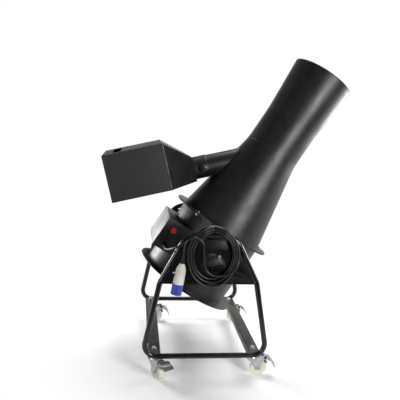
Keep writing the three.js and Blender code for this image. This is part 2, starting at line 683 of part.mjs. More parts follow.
function discharge() {
  const flange = ring(CASING_RADIUS - SHEET, FLANGE_RADIUS, 0, FLANGE_THICKNESS, BARREL_SIDES);
  let cone = solid(coneBody(CASING_RADIUS - SHEET, CASING_RADIUS, THROAT_RADIUS - SHEET, THROAT_RADIUS, 0));
  cone = boredForFlangeBolts(cone.add(solid(flange)));
  const mouthHole = disc(PIPE_RADIUS - SHEET, 0, PIPE_END);
  const placed = mouthHole.applyMatrix4(feedMatrix());
  return piece("cone", cone.subtract(solid(placed)), FINISH.blackPaint);
}
function feedMatrix() {
  const turn = new THREE.Matrix4().makeRotationY(FEED_ANGLE - Math.PI);
  return turn.setPosition(0, 0, FEED_START);
}
function throatTube() {
  const skin = ring(THROAT_RADIUS - SHEET, THROAT_RADIUS, THROAT_START + SEAT_GAP, MOUTH_START, BARREL_SIDES);
  return piece("throat_tube", skin, FINISH.blackPaint);
}
function mouthFlare() {
  const start = MOUTH_START + SEAT_GAP;
  const hemStart = MOUTH_END - MOUTH_HEM;
  const profile = [
    [THROAT_RADIUS - SHEET, start],
    [THROAT_RADIUS, start],
    [MOUTH_RADIUS - SHEET, hemStart],
    [MOUTH_RADIUS, hemStart],
    [MOUTH_RADIUS, MOUTH_END],
    [MOUTH_RADIUS - 2 * SHEET, MOUTH_END],
    [THROAT_RADIUS - SHEET, start],
  ];
  return piece("mouth_flare", turned(profile), FINISH.blackPaint);
}
function flangeBolt(name, place) {
  const seat = FLANGE_THICKNESS + SEAT_GAP;
  const low = -SEAT_GAP - FLANGE_THICKNESS - SEAT_GAP;
  const head = solid(disc(FLANGE_HEAD_RADIUS, seat, seat + FLANGE_HEAD_HEIGHT, BOLT_SIDES));
  const nut = solid(disc(FLANGE_HEAD_RADIUS, low - FLANGE_HEAD_HEIGHT, low, BOLT_SIDES));
  const shankLow = low - FLANGE_HEAD_HEIGHT - FLANGE_BOLT_RADIUS;
  const shank = solid(disc(FLANGE_BOLT_RADIUS, shankLow, seat + FLANGE_HEAD_HEIGHT / 2, SMALL_SIDES));
  const mesh = piece(name, head.add(nut).add(shank), FINISH.zinc);
  mesh.position.set(...place, 0);
  return mesh;
}

// Trunnions: folded channels between the casing and the pivot plates
const WEB_OUTER = PLATE_INNER - RUNNING_GAP;
const WEB_INNER = WEB_OUTER - BRACKET_THICKNESS;
function aroundCasing(clearance) {
  return solid(disc(CASING_RADIUS + clearance, -CASING_LENGTH - OVERRUN, OVERRUN, BARREL_SIDES));
}
function trunnionBracket(name, side) {
  const half = BRACKET_WIDTH / 2;
  const spanOf = (halfWidth, outer, low, high) => {
    const ys = [side * outer, 0].sort((a, b) => a - b);
    const ends = [-BOLT_LINE_OFFSET - halfWidth, -BOLT_LINE_OFFSET + halfWidth];
    return solid(block([ends[0], ys[0], low], [ends[1], ys[1], high]));
  };
  let bracket = spanOf(half, WEB_OUTER, -BRACKET_LOW, -BRACKET_HIGH);
  const insideHalf = half - BRACKET_THICKNESS;
  bracket = bracket.subtract(spanOf(insideHalf, WEB_INNER, -BRACKET_LOW - OVERRUN, -BRACKET_HIGH + OVERRUN));
  bracket = bracket.subtract(aroundCasing(SEAT_GAP));
  const reach = STAND_HALF + OVERRUN;
  const boreAt = (radius, s) => {
    const bore = lyingAlongY(disc(radius, -reach, reach, SMALL_SIDES));
    return solid(bore.translate(-BOLT_LINE_OFFSET, 0, s));
  };
  bracket = bracket.subtract(boreAt(PIVOT_SHANK_RADIUS + SEAT_GAP, -PIVOT_BELOW_FLANGE));
  bracket = bracket.subtract(boreAt(LOCK_SHANK_RADIUS + SEAT_GAP, LOCK_RADIUS - PIVOT_BELOW_FLANGE));
  return piece(name, bracket, FINISH.blackPaint);
}
function standBolt(name, side, shankRadius, washerRadius, s) {
  const outer = PLATE_OUTER + RUNNING_GAP;
  const inner = WEB_INNER - SEAT_GAP;
  const hexRadius = washerRadius - WASHER_BORDER;
  const washer = solid(disc(washerRadius, outer, outer + WASHER_THICKNESS));
  const head = solid(disc(hexRadius, outer, outer + WASHER_THICKNESS + shankRadius, BOLT_SIDES));
  const nut = solid(disc(hexRadius, inner - shankRadius, inner, BOLT_SIDES));
  const shankLow = inner - shankRadius - WASHER_THICKNESS;
  const shank = solid(disc(shankRadius, shankLow, outer + shankRadius, SMALL_SIDES));
  const mesh = piece(name, washer.add(head).add(nut).add(shank), FINISH.zinc);
  mesh.rotation.x = (-side * Math.PI) / 2;
  mesh.position.set(-BOLT_LINE_OFFSET, 0, s);
  return mesh;
}

// Fan: motor held by two flat arms, its shaft and a bladed hub, and a wire guard below
function fanMotor() {
  const bore = SHAFT_RADIUS + RUNNING_GAP;
  const profile = [
    [bore, -MOTOR_LOW],
    [MOTOR_END_RADIUS, -MOTOR_LOW],
    [MOTOR_RADIUS, -MOTOR_LOW + MOTOR_END_STEP],
    [MOTOR_RADIUS, -MOTOR_HIGH - MOTOR_END_STEP],
    [MOTOR_END_RADIUS, -MOTOR_HIGH],
    [0, -MOTOR_HIGH],
    [0, -MOTOR_HIGH - MOTOR_END_STEP],
    [MOTOR_RADIUS - MOTOR_WALL, -MOTOR_HIGH - MOTOR_END_STEP],
    [MOTOR_RADIUS - MOTOR_WALL, -MOTOR_LOW + MOTOR_END_STEP],
    [bore, -MOTOR_LOW + MOTOR_END_STEP],
    [bore, -MOTOR_LOW],
  ];
  return piece("fan_motor", turned(profile, ROUND_SIDES), FINISH.motor);
}
function motorShaft() {
  const shaft = disc(SHAFT_RADIUS, -MOTOR_LOW - SHAFT_LENGTH, -MOTOR_LOW + SHAFT_IN_MOTOR);
  return piece("motor_shaft", shaft, FINISH.zinc);
}
function motorArm(name, side) {
  const middle = -(MOTOR_LOW + MOTOR_HIGH) / 2;
  const ys = [0, side * CASING_RADIUS].sort((a, b) => a - b);
  const half = ARM_THICKNESS / 2;
  const strip = solid(block([-half, ys[0], middle - ARM_LENGTH / 2], [half, ys[1], middle + ARM_LENGTH / 2]));
  const insideFlat = CASING_INNER * Math.cos(Math.PI / BARREL_SIDES);
  const space = ring(MOTOR_RADIUS + SEAT_GAP, insideFlat - SEAT_GAP, -MOTOR_LOW, -MOTOR_HIGH, BARREL_SIDES);
  return piece(name, strip.intersect(solid(space)), FINISH.blackPaint);
}
function impeller() {
  const low = -MOTOR_LOW - SHAFT_LENGTH + HUB_WALL;
  const high = low + HUB_HEIGHT;
  const middle = (low + high) / 2;
  const hub = solid(disc(HUB_RADIUS, low, high));
  const hollow = solid(ring(HUB_BOSS_RADIUS, HUB_RADIUS - HUB_WALL, low + HUB_WALL, high + OVERRUN));
  let rotor = hub.subtract(hollow);
  const tip = CASING_INNER - BLADE_TIP_GAP;
  const swept = solid(ring(HUB_RADIUS - HUB_WALL / 2, tip, low, high, BARREL_SIDES));
  for (let i = 0; i < BLADE_COUNT; i += 1) {
    const [halfChord, halfThick] = [BLADE_CHORD / 2, BLADE_THICKNESS / 2];
    const blade = block([0, -halfChord, -halfThick], [CASING_RADIUS, halfChord, halfThick]);
    blade.rotateX(BLADE_PITCH).translate(0, 0, middle).rotateZ((2 * Math.PI * i) / BLADE_COUNT);
    rotor = rotor.add(solid(blade).intersect(swept));
  }
  rotor = rotor.subtract(solid(disc(SHAFT_RADIUS + SEAT_GAP, low - OVERRUN, high + OVERRUN)));
  return piece("impeller", rotor, FINISH.cast);
}
function inletGuard() {
  const level = -CASING_LENGTH - SEAT_GAP - GUARD_WIRE_RADIUS;
  let guard = null;
  for (let i = 1; i <= GUARD_RING_COUNT; i += 1) {
    const radius = (GUARD_RADIUS * i) / GUARD_RING_COUNT;
    const wire = new THREE.TorusGeometry(radius, GUARD_WIRE_RADIUS, GUARD_WIRE_SIDES, ROUND_SIDES);
    guard = guard ? guard.add(solid(wire)) : solid(wire);
  }
  for (let i = 0; i < GUARD_BARS; i += 1) {
    const bar = disc(GUARD_WIRE_RADIUS, -FLANGE_BOLT_CIRCLE, FLANGE_BOLT_CIRCLE, GUARD_BAR_SIDES);
    guard = guard.add(solid(bar.rotateX(Math.PI / 2).rotateZ((Math.PI * i) / GUARD_BARS)));
  }
  const mesh = piece("inlet_guard", guard, FINISH.zinc);
  mesh.position.z = level;
  return mesh;
}

// Control box: a folded shell scribed to the casing, its cover, the start button and the cable gland
function controlBody() {
  const wall = CONTROL_WALL;
  const boxFrom = (out, inset) => {
    const low = [-out, -CONTROL_NEAR + inset, -CONTROL_LOW + inset];
    return solid(block(low, [0, CONTROL_FAR - inset, -CONTROL_HIGH - inset]));
  };
  const outer = boxFrom(CONTROL_OUT - wall - SEAT_GAP, 0).subtract(aroundCasing(SEAT_GAP));
  const inner = boxFrom(CONTROL_OUT + OVERRUN, wall).subtract(aroundCasing(SEAT_GAP + wall));
  let body = outer.subtract(inner);
  const boreAt = (radius, u, s) => {
    const bore = disc(radius, CONTROL_NEAR - OVERRUN, CONTROL_NEAR + OVERRUN, SMALL_SIDES);
    return solid(lyingAlongY(bore).translate(-u, 0, -s));
  };
  body = body.subtract(boreAt(BUTTON_STEM_RADIUS + RUNNING_GAP, BUTTON_ACROSS, BUTTON_DOWN));
  body = body.subtract(boreAt(GLAND_THREAD_RADIUS + SEAT_GAP, GLAND_ACROSS, GLAND_DOWN));
  return piece("control_box", body, FINISH.blackPaint);
}
function controlCover() {
  const lip = CONTROL_WALL + SEAT_GAP;
  const sheetInner = -CONTROL_OUT + CONTROL_WALL;
  const rectangle = (inset, from, to) => {
    const low = [from, -CONTROL_NEAR + inset, -CONTROL_LOW + inset];
    return solid(block(low, [to, CONTROL_FAR - inset, -CONTROL_HIGH - inset]));
  };
  const lipEnd = sheetInner + COVER_LIP_DEPTH;
  let cover = rectangle(0, -CONTROL_OUT, sheetInner).add(rectangle(lip, -CONTROL_OUT, lipEnd));
  cover = cover.subtract(rectangle(lip + CONTROL_WALL, sheetInner, lipEnd + OVERRUN));
  return piece("control_box_cover", cover, FINISH.label);
}
function onControlFront(mesh, across, down) {
  mesh.rotation.x = Math.PI / 2;
  mesh.position.set(-across, -CONTROL_NEAR, -down);
  return mesh;
}
function startButton() {
  const base = BUTTON_TRAVEL + RUNNING_GAP;
  const head = solid(disc(BUTTON_RADIUS, base, base + BUTTON_HEIGHT));
  const stemTop = base + BUTTON_HEIGHT / 2;
  const stem = solid(disc(BUTTON_STEM_RADIUS, base - BUTTON_STEM_LENGTH, stemTop, SMALL_SIDES));
  return onControlFront(piece("start_button", head.add(stem), FINISH.red), BUTTON_ACROSS, BUTTON_DOWN);
}
function buttonCollar() {
  const collar = ring(BUTTON_RADIUS + RUNNING_GAP, COLLAR_RADIUS, SEAT_GAP, COLLAR_HEIGHT);
  return onControlFront(piece("button_collar", collar, FINISH.redRing), BUTTON_ACROSS, BUTTON_DOWN);
}
function cableGland() {
  const nut = solid(disc(GLAND_RADIUS, SEAT_GAP, GLAND_NUT_LENGTH, BOLT_SIDES));
  const nutMiddle = GLAND_NUT_LENGTH / 2;
  const dome = solid(disc(GLAND_RADIUS, nutMiddle, GLAND_LENGTH, SMALL_SIDES, GLAND_MOUTH_RADIUS));
  const thread = solid(disc(GLAND_THREAD_RADIUS, -GLAND_THREAD_LENGTH, nutMiddle, SMALL_SIDES));
  const gland = piece("cable_gland", nut.add(dome).add(thread), FINISH.blackPlastic);
  return onControlFront(gland, GLAND_ACROSS, GLAND_DOWN);
}

// Hopper and its branch pipe, built along the feed line with +z leading out from the barrel
const SLEEVE_INNER = PIPE_RADIUS + RUNNING_GAP;
const SLEEVE_OUTER = SLEEVE_INNER + SHEET;
const SLEEVE_END = FUNNEL_START - SEAT_GAP;
const BOX_LOW = -FUNNEL_SMALL_HALF;
const BOX_HIGH = BOX_LOW + BOX_HEIGHT;
const KNOB_AT = FUNNEL_START - KNOB_FROM_FUNNEL;
function feedPipe() {
  const whole = solid(ring(PIPE_RADIUS - SHEET, PIPE_RADIUS, 0, PIPE_END, PIPE_SIDES));
  const barrel = solid(turned([
    [0, 0],
    [CASING_RADIUS + SEAT_GAP, 0],
    [THROAT_RADIUS + SEAT_GAP, THROAT_START],
    [THROAT_RADIUS + SEAT_GAP, MOUTH_START],
    [0, MOUTH_START],
  ]).applyMatrix4(feedMatrix().invert()));
  return piece("feed_pipe", whole.subtract(barrel), FINISH.blackPaint);
}
function hopperSleeve() {
  const skin = solid(ring(SLEEVE_INNER, SLEEVE_OUTER, SLEEVE_START, SLEEVE_END, PIPE_SIDES));
  const bossTop = SLEEVE_OUTER + KNOB_BOSS_HEIGHT;
  const boss = disc(KNOB_BOSS_RADIUS, SLEEVE_INNER, bossTop, SMALL_SIDES);
  const bored = disc(KNOB_STUD_RADIUS + RUNNING_GAP, 0, bossTop + OVERRUN, SMALL_SIDES);
  const placed = (geometry) => solid(lyingAlongY(geometry).translate(0, 0, KNOB_AT));
  const keptOpen = solid(disc(SLEEVE_INNER, SLEEVE_START - OVERRUN, SLEEVE_END + OVERRUN, PIPE_SIDES));
  const sleeve = skin.add(placed(boss)).subtract(placed(bored)).subtract(keptOpen);
  return piece("hopper_sleeve", sleeve, FINISH.hopperPaint);
}
function hopperKnob() {
  const low = SLEEVE_OUTER + KNOB_BOSS_HEIGHT + RUNNING_GAP;
  const points = [];
  for (let i = 0; i < KNOB_SIDES; i += 1) {
    const angle = (2 * Math.PI * i) / KNOB_SIDES;
    const reach = KNOB_RADIUS - (KNOB_LOBE_DEPTH * (1 - Math.cos(KNOB_LOBES * angle))) / 2;
    points.push(new THREE.Vector2(reach * Math.cos(angle), reach * Math.sin(angle)));
  }
  const grip = solid(slab(new THREE.Shape(points), KNOB_HEIGHT).translate(0, 0, low));
  const stud = solid(disc(KNOB_STUD_RADIUS, PIPE_RADIUS + SEAT_GAP, low + KNOB_HEIGHT / 2, SMALL_SIDES));
  const mesh = piece("hopper_knob", grip.add(stud), FINISH.blackPlastic);
  mesh.rotation.x = Math.PI / 2;
  mesh.position.z = KNOB_AT;
  return mesh;
}
function funnelRectangle(level, inset) {
  const share = (level - FUNNEL_START) / (BOX_START - SEAT_GAP - FUNNEL_START);
  const halfWidth = FUNNEL_SMALL_HALF + (BOX_HALF_WIDTH - FUNNEL_SMALL_HALF) * share - inset;
  const high = FUNNEL_SMALL_HALF + (BOX_HIGH - FUNNEL_SMALL_HALF) * share - inset;
  return [BOX_LOW + inset, high, -halfWidth, halfWidth];
}
function hopperFunnel() {
  const end = BOX_START - SEAT_GAP;
  const floor = FUNNEL_START + SHEET;
  const tapered = (inset, from, to) => {
    return solid(prismoid(funnelRectangle(from, inset), funnelRectangle(to, inset), from, to));
  };
  const outer = tapered(0, FUNNEL_START, end);
  const inner = tapered(SHEET, floor, end + OVERRUN);
  const hole = solid(disc(SLEEVE_INNER, FUNNEL_START - OVERRUN, floor + OVERRUN, PIPE_SIDES));
  return piece("hopper_funnel", outer.subtract(inner).subtract(hole), FINISH.hopperPaint);
}
function hopperBox() {
  const outer = solid(block([BOX_LOW, -BOX_HALF_WIDTH, BOX_START], [BOX_HIGH, BOX_HALF_WIDTH, BOX_END]));
  const insideHalf = BOX_HALF_WIDTH - SHEET;
  const insideHigh = [BOX_HIGH - SHEET, insideHalf, BOX_END - SHEET];
  const inner = block([BOX_LOW + SHEET, -insideHalf, BOX_START - OVERRUN], insideHigh);
  const slotEnd = BOX_END - SLOT_FROM_END;
  const slotLow = [BOX_HIGH - OVERRUN, -SLOT_LENGTH / 2, slotEnd - SLOT_WIDTH];
  const slot = block(slotLow, [BOX_HIGH + OVERRUN, SLOT_LENGTH / 2, slotEnd]);
  return piece("hopper_box", outer.subtract(solid(inner)).subtract(solid(slot)), FINISH.hopperPaint);
}
function feed() {
  const group = new THREE.Group();
  group.position.z = FEED_START;
  group.rotation.y = FEED_ANGLE - Math.PI;
  group.add(feedPipe(), hopperSleeve(), hopperKnob(), hopperFunnel(), hopperBox());
  return group;
}

// Barrel: everything that tilts, with its origin on the pivot line
function barrel() {
  const group = new THREE.Group();
  group.position.set(PIVOT_X, 0, PIVOT_HEIGHT);
  group.rotation.y = LEAN;
  const line = new THREE.Group();
  line.position.set(BOLT_LINE_OFFSET, 0, PIVOT_BELOW_FLANGE);
  const [leftBolt, rightBolt] = flangeBoltPlaces();
  line.add(fanCasing(), discharge(), throatTube(), mouthFlare());
  line.add(flangeBolt("flange_bolt_left", leftBolt), flangeBolt("flange_bolt_right", rightBolt));
  for (const [label, side] of [["near", -1], ["far", 1]]) {
    line.add(trunnionBracket(`${label}_trunnion_bracket`, side));
    const pivotAt = -PIVOT_BELOW_FLANGE;
    line.add(standBolt(`${label}_pivot_bolt`, side, PIVOT_SHANK_RADIUS, PIVOT_WASHER_RADIUS, pivotAt));
    const lockAt = LOCK_RADIUS + pivotAt;
    line.add(standBolt(`${label}_lock_bolt`, side, LOCK_SHANK_RADIUS, LOCK_WASHER_RADIUS, lockAt));
    line.add(motorArm(`${label}_motor_arm`, side));
  }
  line.add(fanMotor(), motorShaft(), impeller(), inletGuard());
  line.add(controlBody(), controlCover(), startButton(), buttonCollar(), cableGland());
  line.add(feed());
  group.add(line);
  return group;
}

// Stand on its castors
function stand() {
  const group = new THREE.Group();
  for (const [label, side] of [["near", -1], ["far", 1]]) {
    group.add(sideFrame(`${label}_side_frame`, side * STAND_HALF));
    group.add(pivotPlate(`${label}_pivot_plate`, side * STAND_HALF));
    for (const [end, way] of [["left", -1], ["right", 1]]) {
      const name = `${label}_${end}`;
      const [x, y] = [way * BAR_HALF_SPACING, side * CASTOR_HALF_SPACING];
      group.add(castor(name, x, y, CASTOR_HEADINGS[name]));
    }
  }
  group.add(crossBar("left_cross_bar", -BAR_HALF_SPACING));
  group.add(crossBar("right_cross_bar", BAR_HALF_SPACING));
  return group;
}

// Mains lead: wound over the near frame's top tube in two layers, turning in and then out.
// The lead's points are offsets from a line between the gland's mouth and the tube, the tail's from the tube.
const PLUG_Y = -STAND_HALF - PLUG_OUT;
const PLUG_TOP = HEAD_HEIGHT - PLUG_BELOW_HEAD;
const COIL_TURNS = COIL_FULL_TURNS + COIL_START_DEGREES / 360;
const COIL_HALF_TURN = 0.5;
const COIL_INWARD_TURNS = (COIL_TURNS - COIL_HALF_TURN) / 2;
const COIL_HEIGHT = HEAD_HEIGHT - COIL_BELOW_HEAD;
const COIL_TOP = COIL_BELOW_HEAD + TUBE_RADIUS + COIL_RISE_OVER_TUBE;
const COIL_BACK_Y = -STAND_HALF - TUBE_RADIUS - CORD_RADIUS - COIL_REST_GAP - SEAT_GAP;
function coilPoint(turn) {
  const climbEnd = COIL_INWARD_TURNS + COIL_HALF_TURN;
  const climbShare = THREE.MathUtils.smoothstep(turn, COIL_INWARD_TURNS, climbEnd);
  const k = Math.max(COIL_INWARD_TURNS - turn, turn - climbEnd, 0);
  const angle = THREE.MathUtils.degToRad(COIL_START_DEGREES) - 2 * Math.PI * turn;
  const [across, up] = [Math.cos(angle), Math.sin(angle)];
  const halfWidth = across > 0 ? COIL_RIGHT + COIL_RIGHT_PITCH * k : COIL_LEFT + COIL_LEFT_PITCH * k;
  const halfHeight = up > 0 ? COIL_TOP + COIL_TOP_PITCH * k : COIL_BOTTOM + COIL_BOTTOM_PITCH * k;
  const fromTop = Math.min(Math.acos(up) / COIL_OVER_TUBE_SPREAD, 1);
  const sag = Math.hypot(Math.sin((fromTop * Math.PI) / 2), COIL_CREST_SHARE);
  const hangShare = sag / Math.hypot(1, COIL_CREST_SHARE);
  const crestY = -STAND_HALF + COIL_LAYER_PITCH / 2;
  const y = crestY + (COIL_BACK_Y - crestY) * hangShare - COIL_LAYER_PITCH * climbShare;
  return new THREE.Vector3(COIL_X + halfWidth * across, y, COIL_HEIGHT + halfHeight * up);
}
function straightOn(from, to) {
  const step = to.clone().sub(from).normalize().multiplyScalar(2 * CORD_RADIUS);
  return to.clone().add(step);
}
function coilPoints() {
  const steps = Math.round(COIL_TURNS * COIL_STEPS_PER_TURN);
  const wound = Array.from({ length: steps + 1 }, (_, i) => coilPoint(i / COIL_STEPS_PER_TURN));
  return [straightOn(wound[1], wound[0]), ...wound, straightOn(wound[steps - 1], wound[steps])];
}
function leastGapToItself(points, diameter) {
  const parts = 4;
  const fine = points.slice(1).flatMap((p, i) => {
    return Array.from({ length: parts }, (_, j) => points[i].clone().lerp(p, j / parts));
  });
  const halfTurn = (COIL_STEPS_PER_TURN * parts) / 2;
  let least = Infinity;
  for (let i = 0; i < fine.length; i += 1) {
    for (let j = i + halfTurn; j < fine.length; j += 1) least = Math.min(least, fine[i].distanceTo(fine[j]));
  }
  return least - diameter;
}
const LEAD_OFFSETS = [
  [0, 0, 0],
  [-22.2, 7.8, -10.9],
  [-44.1, -5.8, -19.9],
  [-63.8, -27.3, -25.4],
  [-79, -48.8, -27.3],
  [-88.2, -65.4, -26.3],
  [-91.4, -71.9, -23.7],
  [-91.6, -59.4, -22.1],
  [-90.8, -38, -20.1],
  [-95.5, -18.3, -17.5],
];
const TAIL_OFFSETS = [
  [125.4, -28.5, -112],
  [123, -32.5, -126],
  [115, -37.1, -143],
  [100, -39.9, -159],
  [77, -39.9, -171],
  [50, -39.9, -178],
  [24, -39.9, -179],
  [0, -39.9, -172],
  [-19, -39.9, -155],
  [-29, -39.9, -131],
  [-32.5, -39.9, -98],
  [-35.5, -39.9, -70],
  [-37.5, -39.9, -47],
  [-43, -39.9, -26],
  [-58, -39.9, -11],
  [-79, -39.9, -5],
  [-100, -39.8, -11],
  [-115, -39.6, -26],
  [-121.4, -39.5, -52],
  [-124, -39.5, -82],
  [-127.4, -39.5, -107.8],
];
function glandMouth() {
  const across = BOLT_LINE_OFFSET - GLAND_ACROSS;
  const out = CONTROL_NEAR + GLAND_LENGTH + SEAT_GAP;
  const mouth = new THREE.Vector3(across, -out, PIVOT_BELOW_FLANGE - GLAND_DOWN);
  const leaning = mouth.applyAxisAngle(new THREE.Vector3(0, 1, 0), LEAN);
  return leaning.add(new THREE.Vector3(PIVOT_X, 0, PIVOT_HEIGHT));
}
function offsetAlong(start, end, offsets) {
  const last = offsets.length - 1;
  return offsets.map((offset, i) => start.clone().lerp(end, i / last).add(new THREE.Vector3(...offset)));
}
function curveThrough(points) {
  const curve = new THREE.CatmullRomCurve3(points, false, "centripetal");
  return curve.getSpacedPoints(Math.round(curve.getLength() / CORD_STEP));
}
function cordNodes() {
  const coil = coilPoints();
  const last = coil.length - 1;
  const beforeCoil = straightOn(coil[1], coil[0]);
  const leadEnd = coil[0].clone().lerp(beforeCoil, SEAT_GAP / (2 * CORD_RADIUS));
  const afterCoil = straightOn(coil[last - 1], coil[last]);
  const tailStart = coil[last].clone().lerp(afterCoil, SEAT_GAP / (2 * CORD_RADIUS));
  const tube = new THREE.Vector3(0, -STAND_HALF, HEAD_HEIGHT);
  const [exit, ...lead] = offsetAlong(glandMouth(), tube, LEAD_OFFSETS);
  const tail = offsetAlong(tube, tube, TAIL_OFFSETS);
  const plugEntry = new THREE.Vector3(0, 0, SEAT_GAP).applyAxisAngle(new THREE.Vector3(0, 1, 0), PLUG_LEAN);
  plugEntry.add(new THREE.Vector3(PLUG_X, PLUG_Y, PLUG_TOP));
  const gap = leastGapToItself(coil, 2 * CORD_RADIUS);
  console.log("cord_coil least gap to itself, mm:", gap.toFixed(2));
  const leadLine = [exit, ...curveThrough([...lead, beforeCoil]), leadEnd];
  const tailLine = [tailStart, ...curveThrough([afterCoil, ...tail]), plugEntry];
  return [
    piece("cord_lead", rod(leadLine, CORD_RADIUS, CORD_SIDES), FINISH.rubber),
    piece("cord_coil", rod(coil, CORD_RADIUS, COIL_SIDES), FINISH.rubber),
    piece("cord_tail", rod(tailLine, CORD_RADIUS, CORD_SIDES), FINISH.rubber),
  ];
}

// Industrial plug hanging at the tail's end, its pins inside the shroud
function plug() {
  const bodyLow = -PLUG_LENGTH;
  const shroudTop = bodyLow - SEAT_GAP;
  const shroudLow = shroudTop - SHROUD_LENGTH;
  const shoulder = [[PLUG_NECK_RADIUS, 0], [PLUG_SHOULDER_RADIUS, -PLUG_NECK_LENGTH]];
  const shell = solid(turned([[0, 0], ...shoulder, [PLUG_RADIUS, bodyLow], [0, bodyLow]], ROUND_SIDES));
  const tabLow = [-PLUG_RADIUS - PLUG_TAB_REACH, -PLUG_TAB_WIDTH / 2, -PLUG_TAB_DROP];
  const tab = solid(block(tabLow, [0, PLUG_TAB_WIDTH / 2, PLUG_TAB_HEIGHT - PLUG_TAB_DROP]));
  const shroudInner = SHROUD_RADIUS - SHROUD_WALL;
  const shroud = turned([
    [0, shroudTop],
    [SHROUD_RADIUS, shroudTop],
    [SHROUD_RADIUS, shroudLow],
    [shroudInner, shroudLow],
    [shroudInner, shroudTop - SHROUD_FLOOR],
    [0, shroudTop - SHROUD_FLOOR],
  ], ROUND_SIDES);
  const baseTop = shroudTop - SHROUD_FLOOR - SEAT_GAP;
  let insert = solid(disc(PIN_BASE_RADIUS, baseTop - PIN_BASE_THICKNESS, baseTop));
  for (let i = 0; i < PIN_COUNT; i += 1) {
    const angle = (2 * Math.PI * i) / PIN_COUNT + Math.PI / 2;
    const pin = disc(PIN_RADIUS, baseTop - PIN_LENGTH, baseTop - PIN_BASE_THICKNESS / 2, SMALL_SIDES);
    const [x, y] = [PIN_CIRCLE_RADIUS * Math.cos(angle), PIN_CIRCLE_RADIUS * Math.sin(angle)];
    insert = insert.add(solid(pin.translate(x, y, 0)));
  }
  const group = new THREE.Group();
  group.position.set(PLUG_X, PLUG_Y, PLUG_TOP);
  group.rotation.y = PLUG_LEAN;
  group.add(piece("plug_body", shell.add(tab), FINISH.plugWhite));
  group.add(piece("plug_shroud", shroud, FINISH.plugBlue));
  group.add(piece("plug_pins", insert, FINISH.brass));
  return group;
}

// Whole blower, moved so that the origin is the middle of its box without the free cord
const blower = new THREE.Group();
blower.name = "confetti_blower";
const settled = new THREE.Group();
settled.add(stand(), barrel());
settled.updateMatrixWorld(true);
const box = new THREE.Box3().setFromObject(settled, true);
const middle = box.getCenter(new THREE.Vector3());
settled.position.set(-middle.x, -middle.y, -box.min.z);
settled.add(...cordNodes(), plug());
blower.add(settled);

export default blower;
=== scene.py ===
# %% [markdown]
# A confetti blower for the stage: a fan blows up through a long barrel, a hopper drops paper into the
# stream, and the whole barrel tilts between two bent tube frames on castors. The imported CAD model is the
# frame of this scene. It brings the bodies that move, and every piece made here stands in that same space,
# in metres.

# %% Load the frame
import math

import bmesh
import bpy
from mathutils import Matrix, Vector


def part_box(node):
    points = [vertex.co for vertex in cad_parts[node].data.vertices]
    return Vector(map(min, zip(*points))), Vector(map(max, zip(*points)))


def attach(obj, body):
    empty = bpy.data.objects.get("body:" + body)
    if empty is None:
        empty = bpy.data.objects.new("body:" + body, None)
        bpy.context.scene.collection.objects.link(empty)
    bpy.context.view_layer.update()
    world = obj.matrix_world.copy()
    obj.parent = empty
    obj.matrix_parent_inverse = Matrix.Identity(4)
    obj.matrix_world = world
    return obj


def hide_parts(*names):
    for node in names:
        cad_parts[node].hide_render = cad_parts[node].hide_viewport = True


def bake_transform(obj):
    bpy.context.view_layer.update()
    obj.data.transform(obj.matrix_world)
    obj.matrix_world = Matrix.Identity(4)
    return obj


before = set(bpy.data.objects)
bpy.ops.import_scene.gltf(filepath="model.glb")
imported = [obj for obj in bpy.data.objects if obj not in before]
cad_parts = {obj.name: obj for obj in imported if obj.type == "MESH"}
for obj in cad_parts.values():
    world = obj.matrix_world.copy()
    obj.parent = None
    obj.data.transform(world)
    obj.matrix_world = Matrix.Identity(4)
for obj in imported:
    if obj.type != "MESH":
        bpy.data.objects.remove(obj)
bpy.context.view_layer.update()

# %% [markdown]
# The sizes are the ones a maker would write on the drawing, in millimetres and degrees. A matrix turns a
# place on the drawing into a place in the scene. There are three drawings: the stand, the barrel along its
# own axis, and the hopper along the branch pipe. The stand's middle is read from the frame, so nothing here
# is measured twice.

# %% Sizes shared with the drawing
MM = 0.001
SEAT_GAP, RUNNING_GAP, CLEAR = 0.3, 0.6, 0.1
SHEET, PLATE_THICKNESS = 2, 4
STAND_HALF, TUBE_RADIUS, CASTOR_HEIGHT, BAR_HALF_SPACING = 368.5, 12.5, 108, 236
PIVOT, LEAN = Vector((3, 0, 540)), 31.57
BOLT_LINE_OFFSET, PIVOT_BELOW_FLANGE = 21.5, 164.6
FEED_START, FEED_ANGLE = 456.6, 44.3
SIDES = (("near", -1), ("far", 1))


def shifted(x, y=0.0, z=0.0):
    return Matrix.Translation((x, y, z))


def spun(degrees, axis):
    return Matrix.Rotation(math.radians(degrees), 4, axis)


FACING_NEAR, FACING_FAR = spun(90, "X"), spun(-90, "X")
bar_boxes = [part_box(f"{side}_cross_bar") for side in ("left", "right")]
stand_x, stand_y = (sum(corner[i] for pair in bar_boxes for corner in pair) / 4 for i in (0, 1))
STAND = shifted(stand_x, stand_y) @ Matrix.Scale(MM, 4)
TILTED = STAND @ Matrix.Translation(PIVOT) @ spun(LEAN, "Y")
BARREL = TILTED @ shifted(BOLT_LINE_OFFSET, 0, PIVOT_BELOW_FLANGE)
FEED = BARREL @ shifted(0, 0, FEED_START) @ spun(FEED_ANGLE - 180, "Y")
print("stand's middle, mm:", round(stand_x / MM, 2), round(stand_y / MM, 2))

# %% [markdown]
# The camera stands where the picture was taken from. Its place, its turn and its focal length were found by
# laying the drawing over the picture: straight tubes and round rims leave only one place from which they
# all fit. The turn is built from three directions, because a yaw, a pitch and a roll are easier to correct
# one by one than a matrix is.

# %% Camera
CAMERA_PLACE = Vector((-345.5, -2541.6, 1224.5))
CAMERA_YAW, CAMERA_PITCH, CAMERA_ROLL = 0.1305, 0.166, 0.051
SENSOR_WIDTH, FOCAL_LENGTH, SIGHT = 36, 45.297, 60


def new_object(name, data):
    made = bpy.data.objects.new(name, data)
    bpy.context.collection.objects.link(made)
    return made


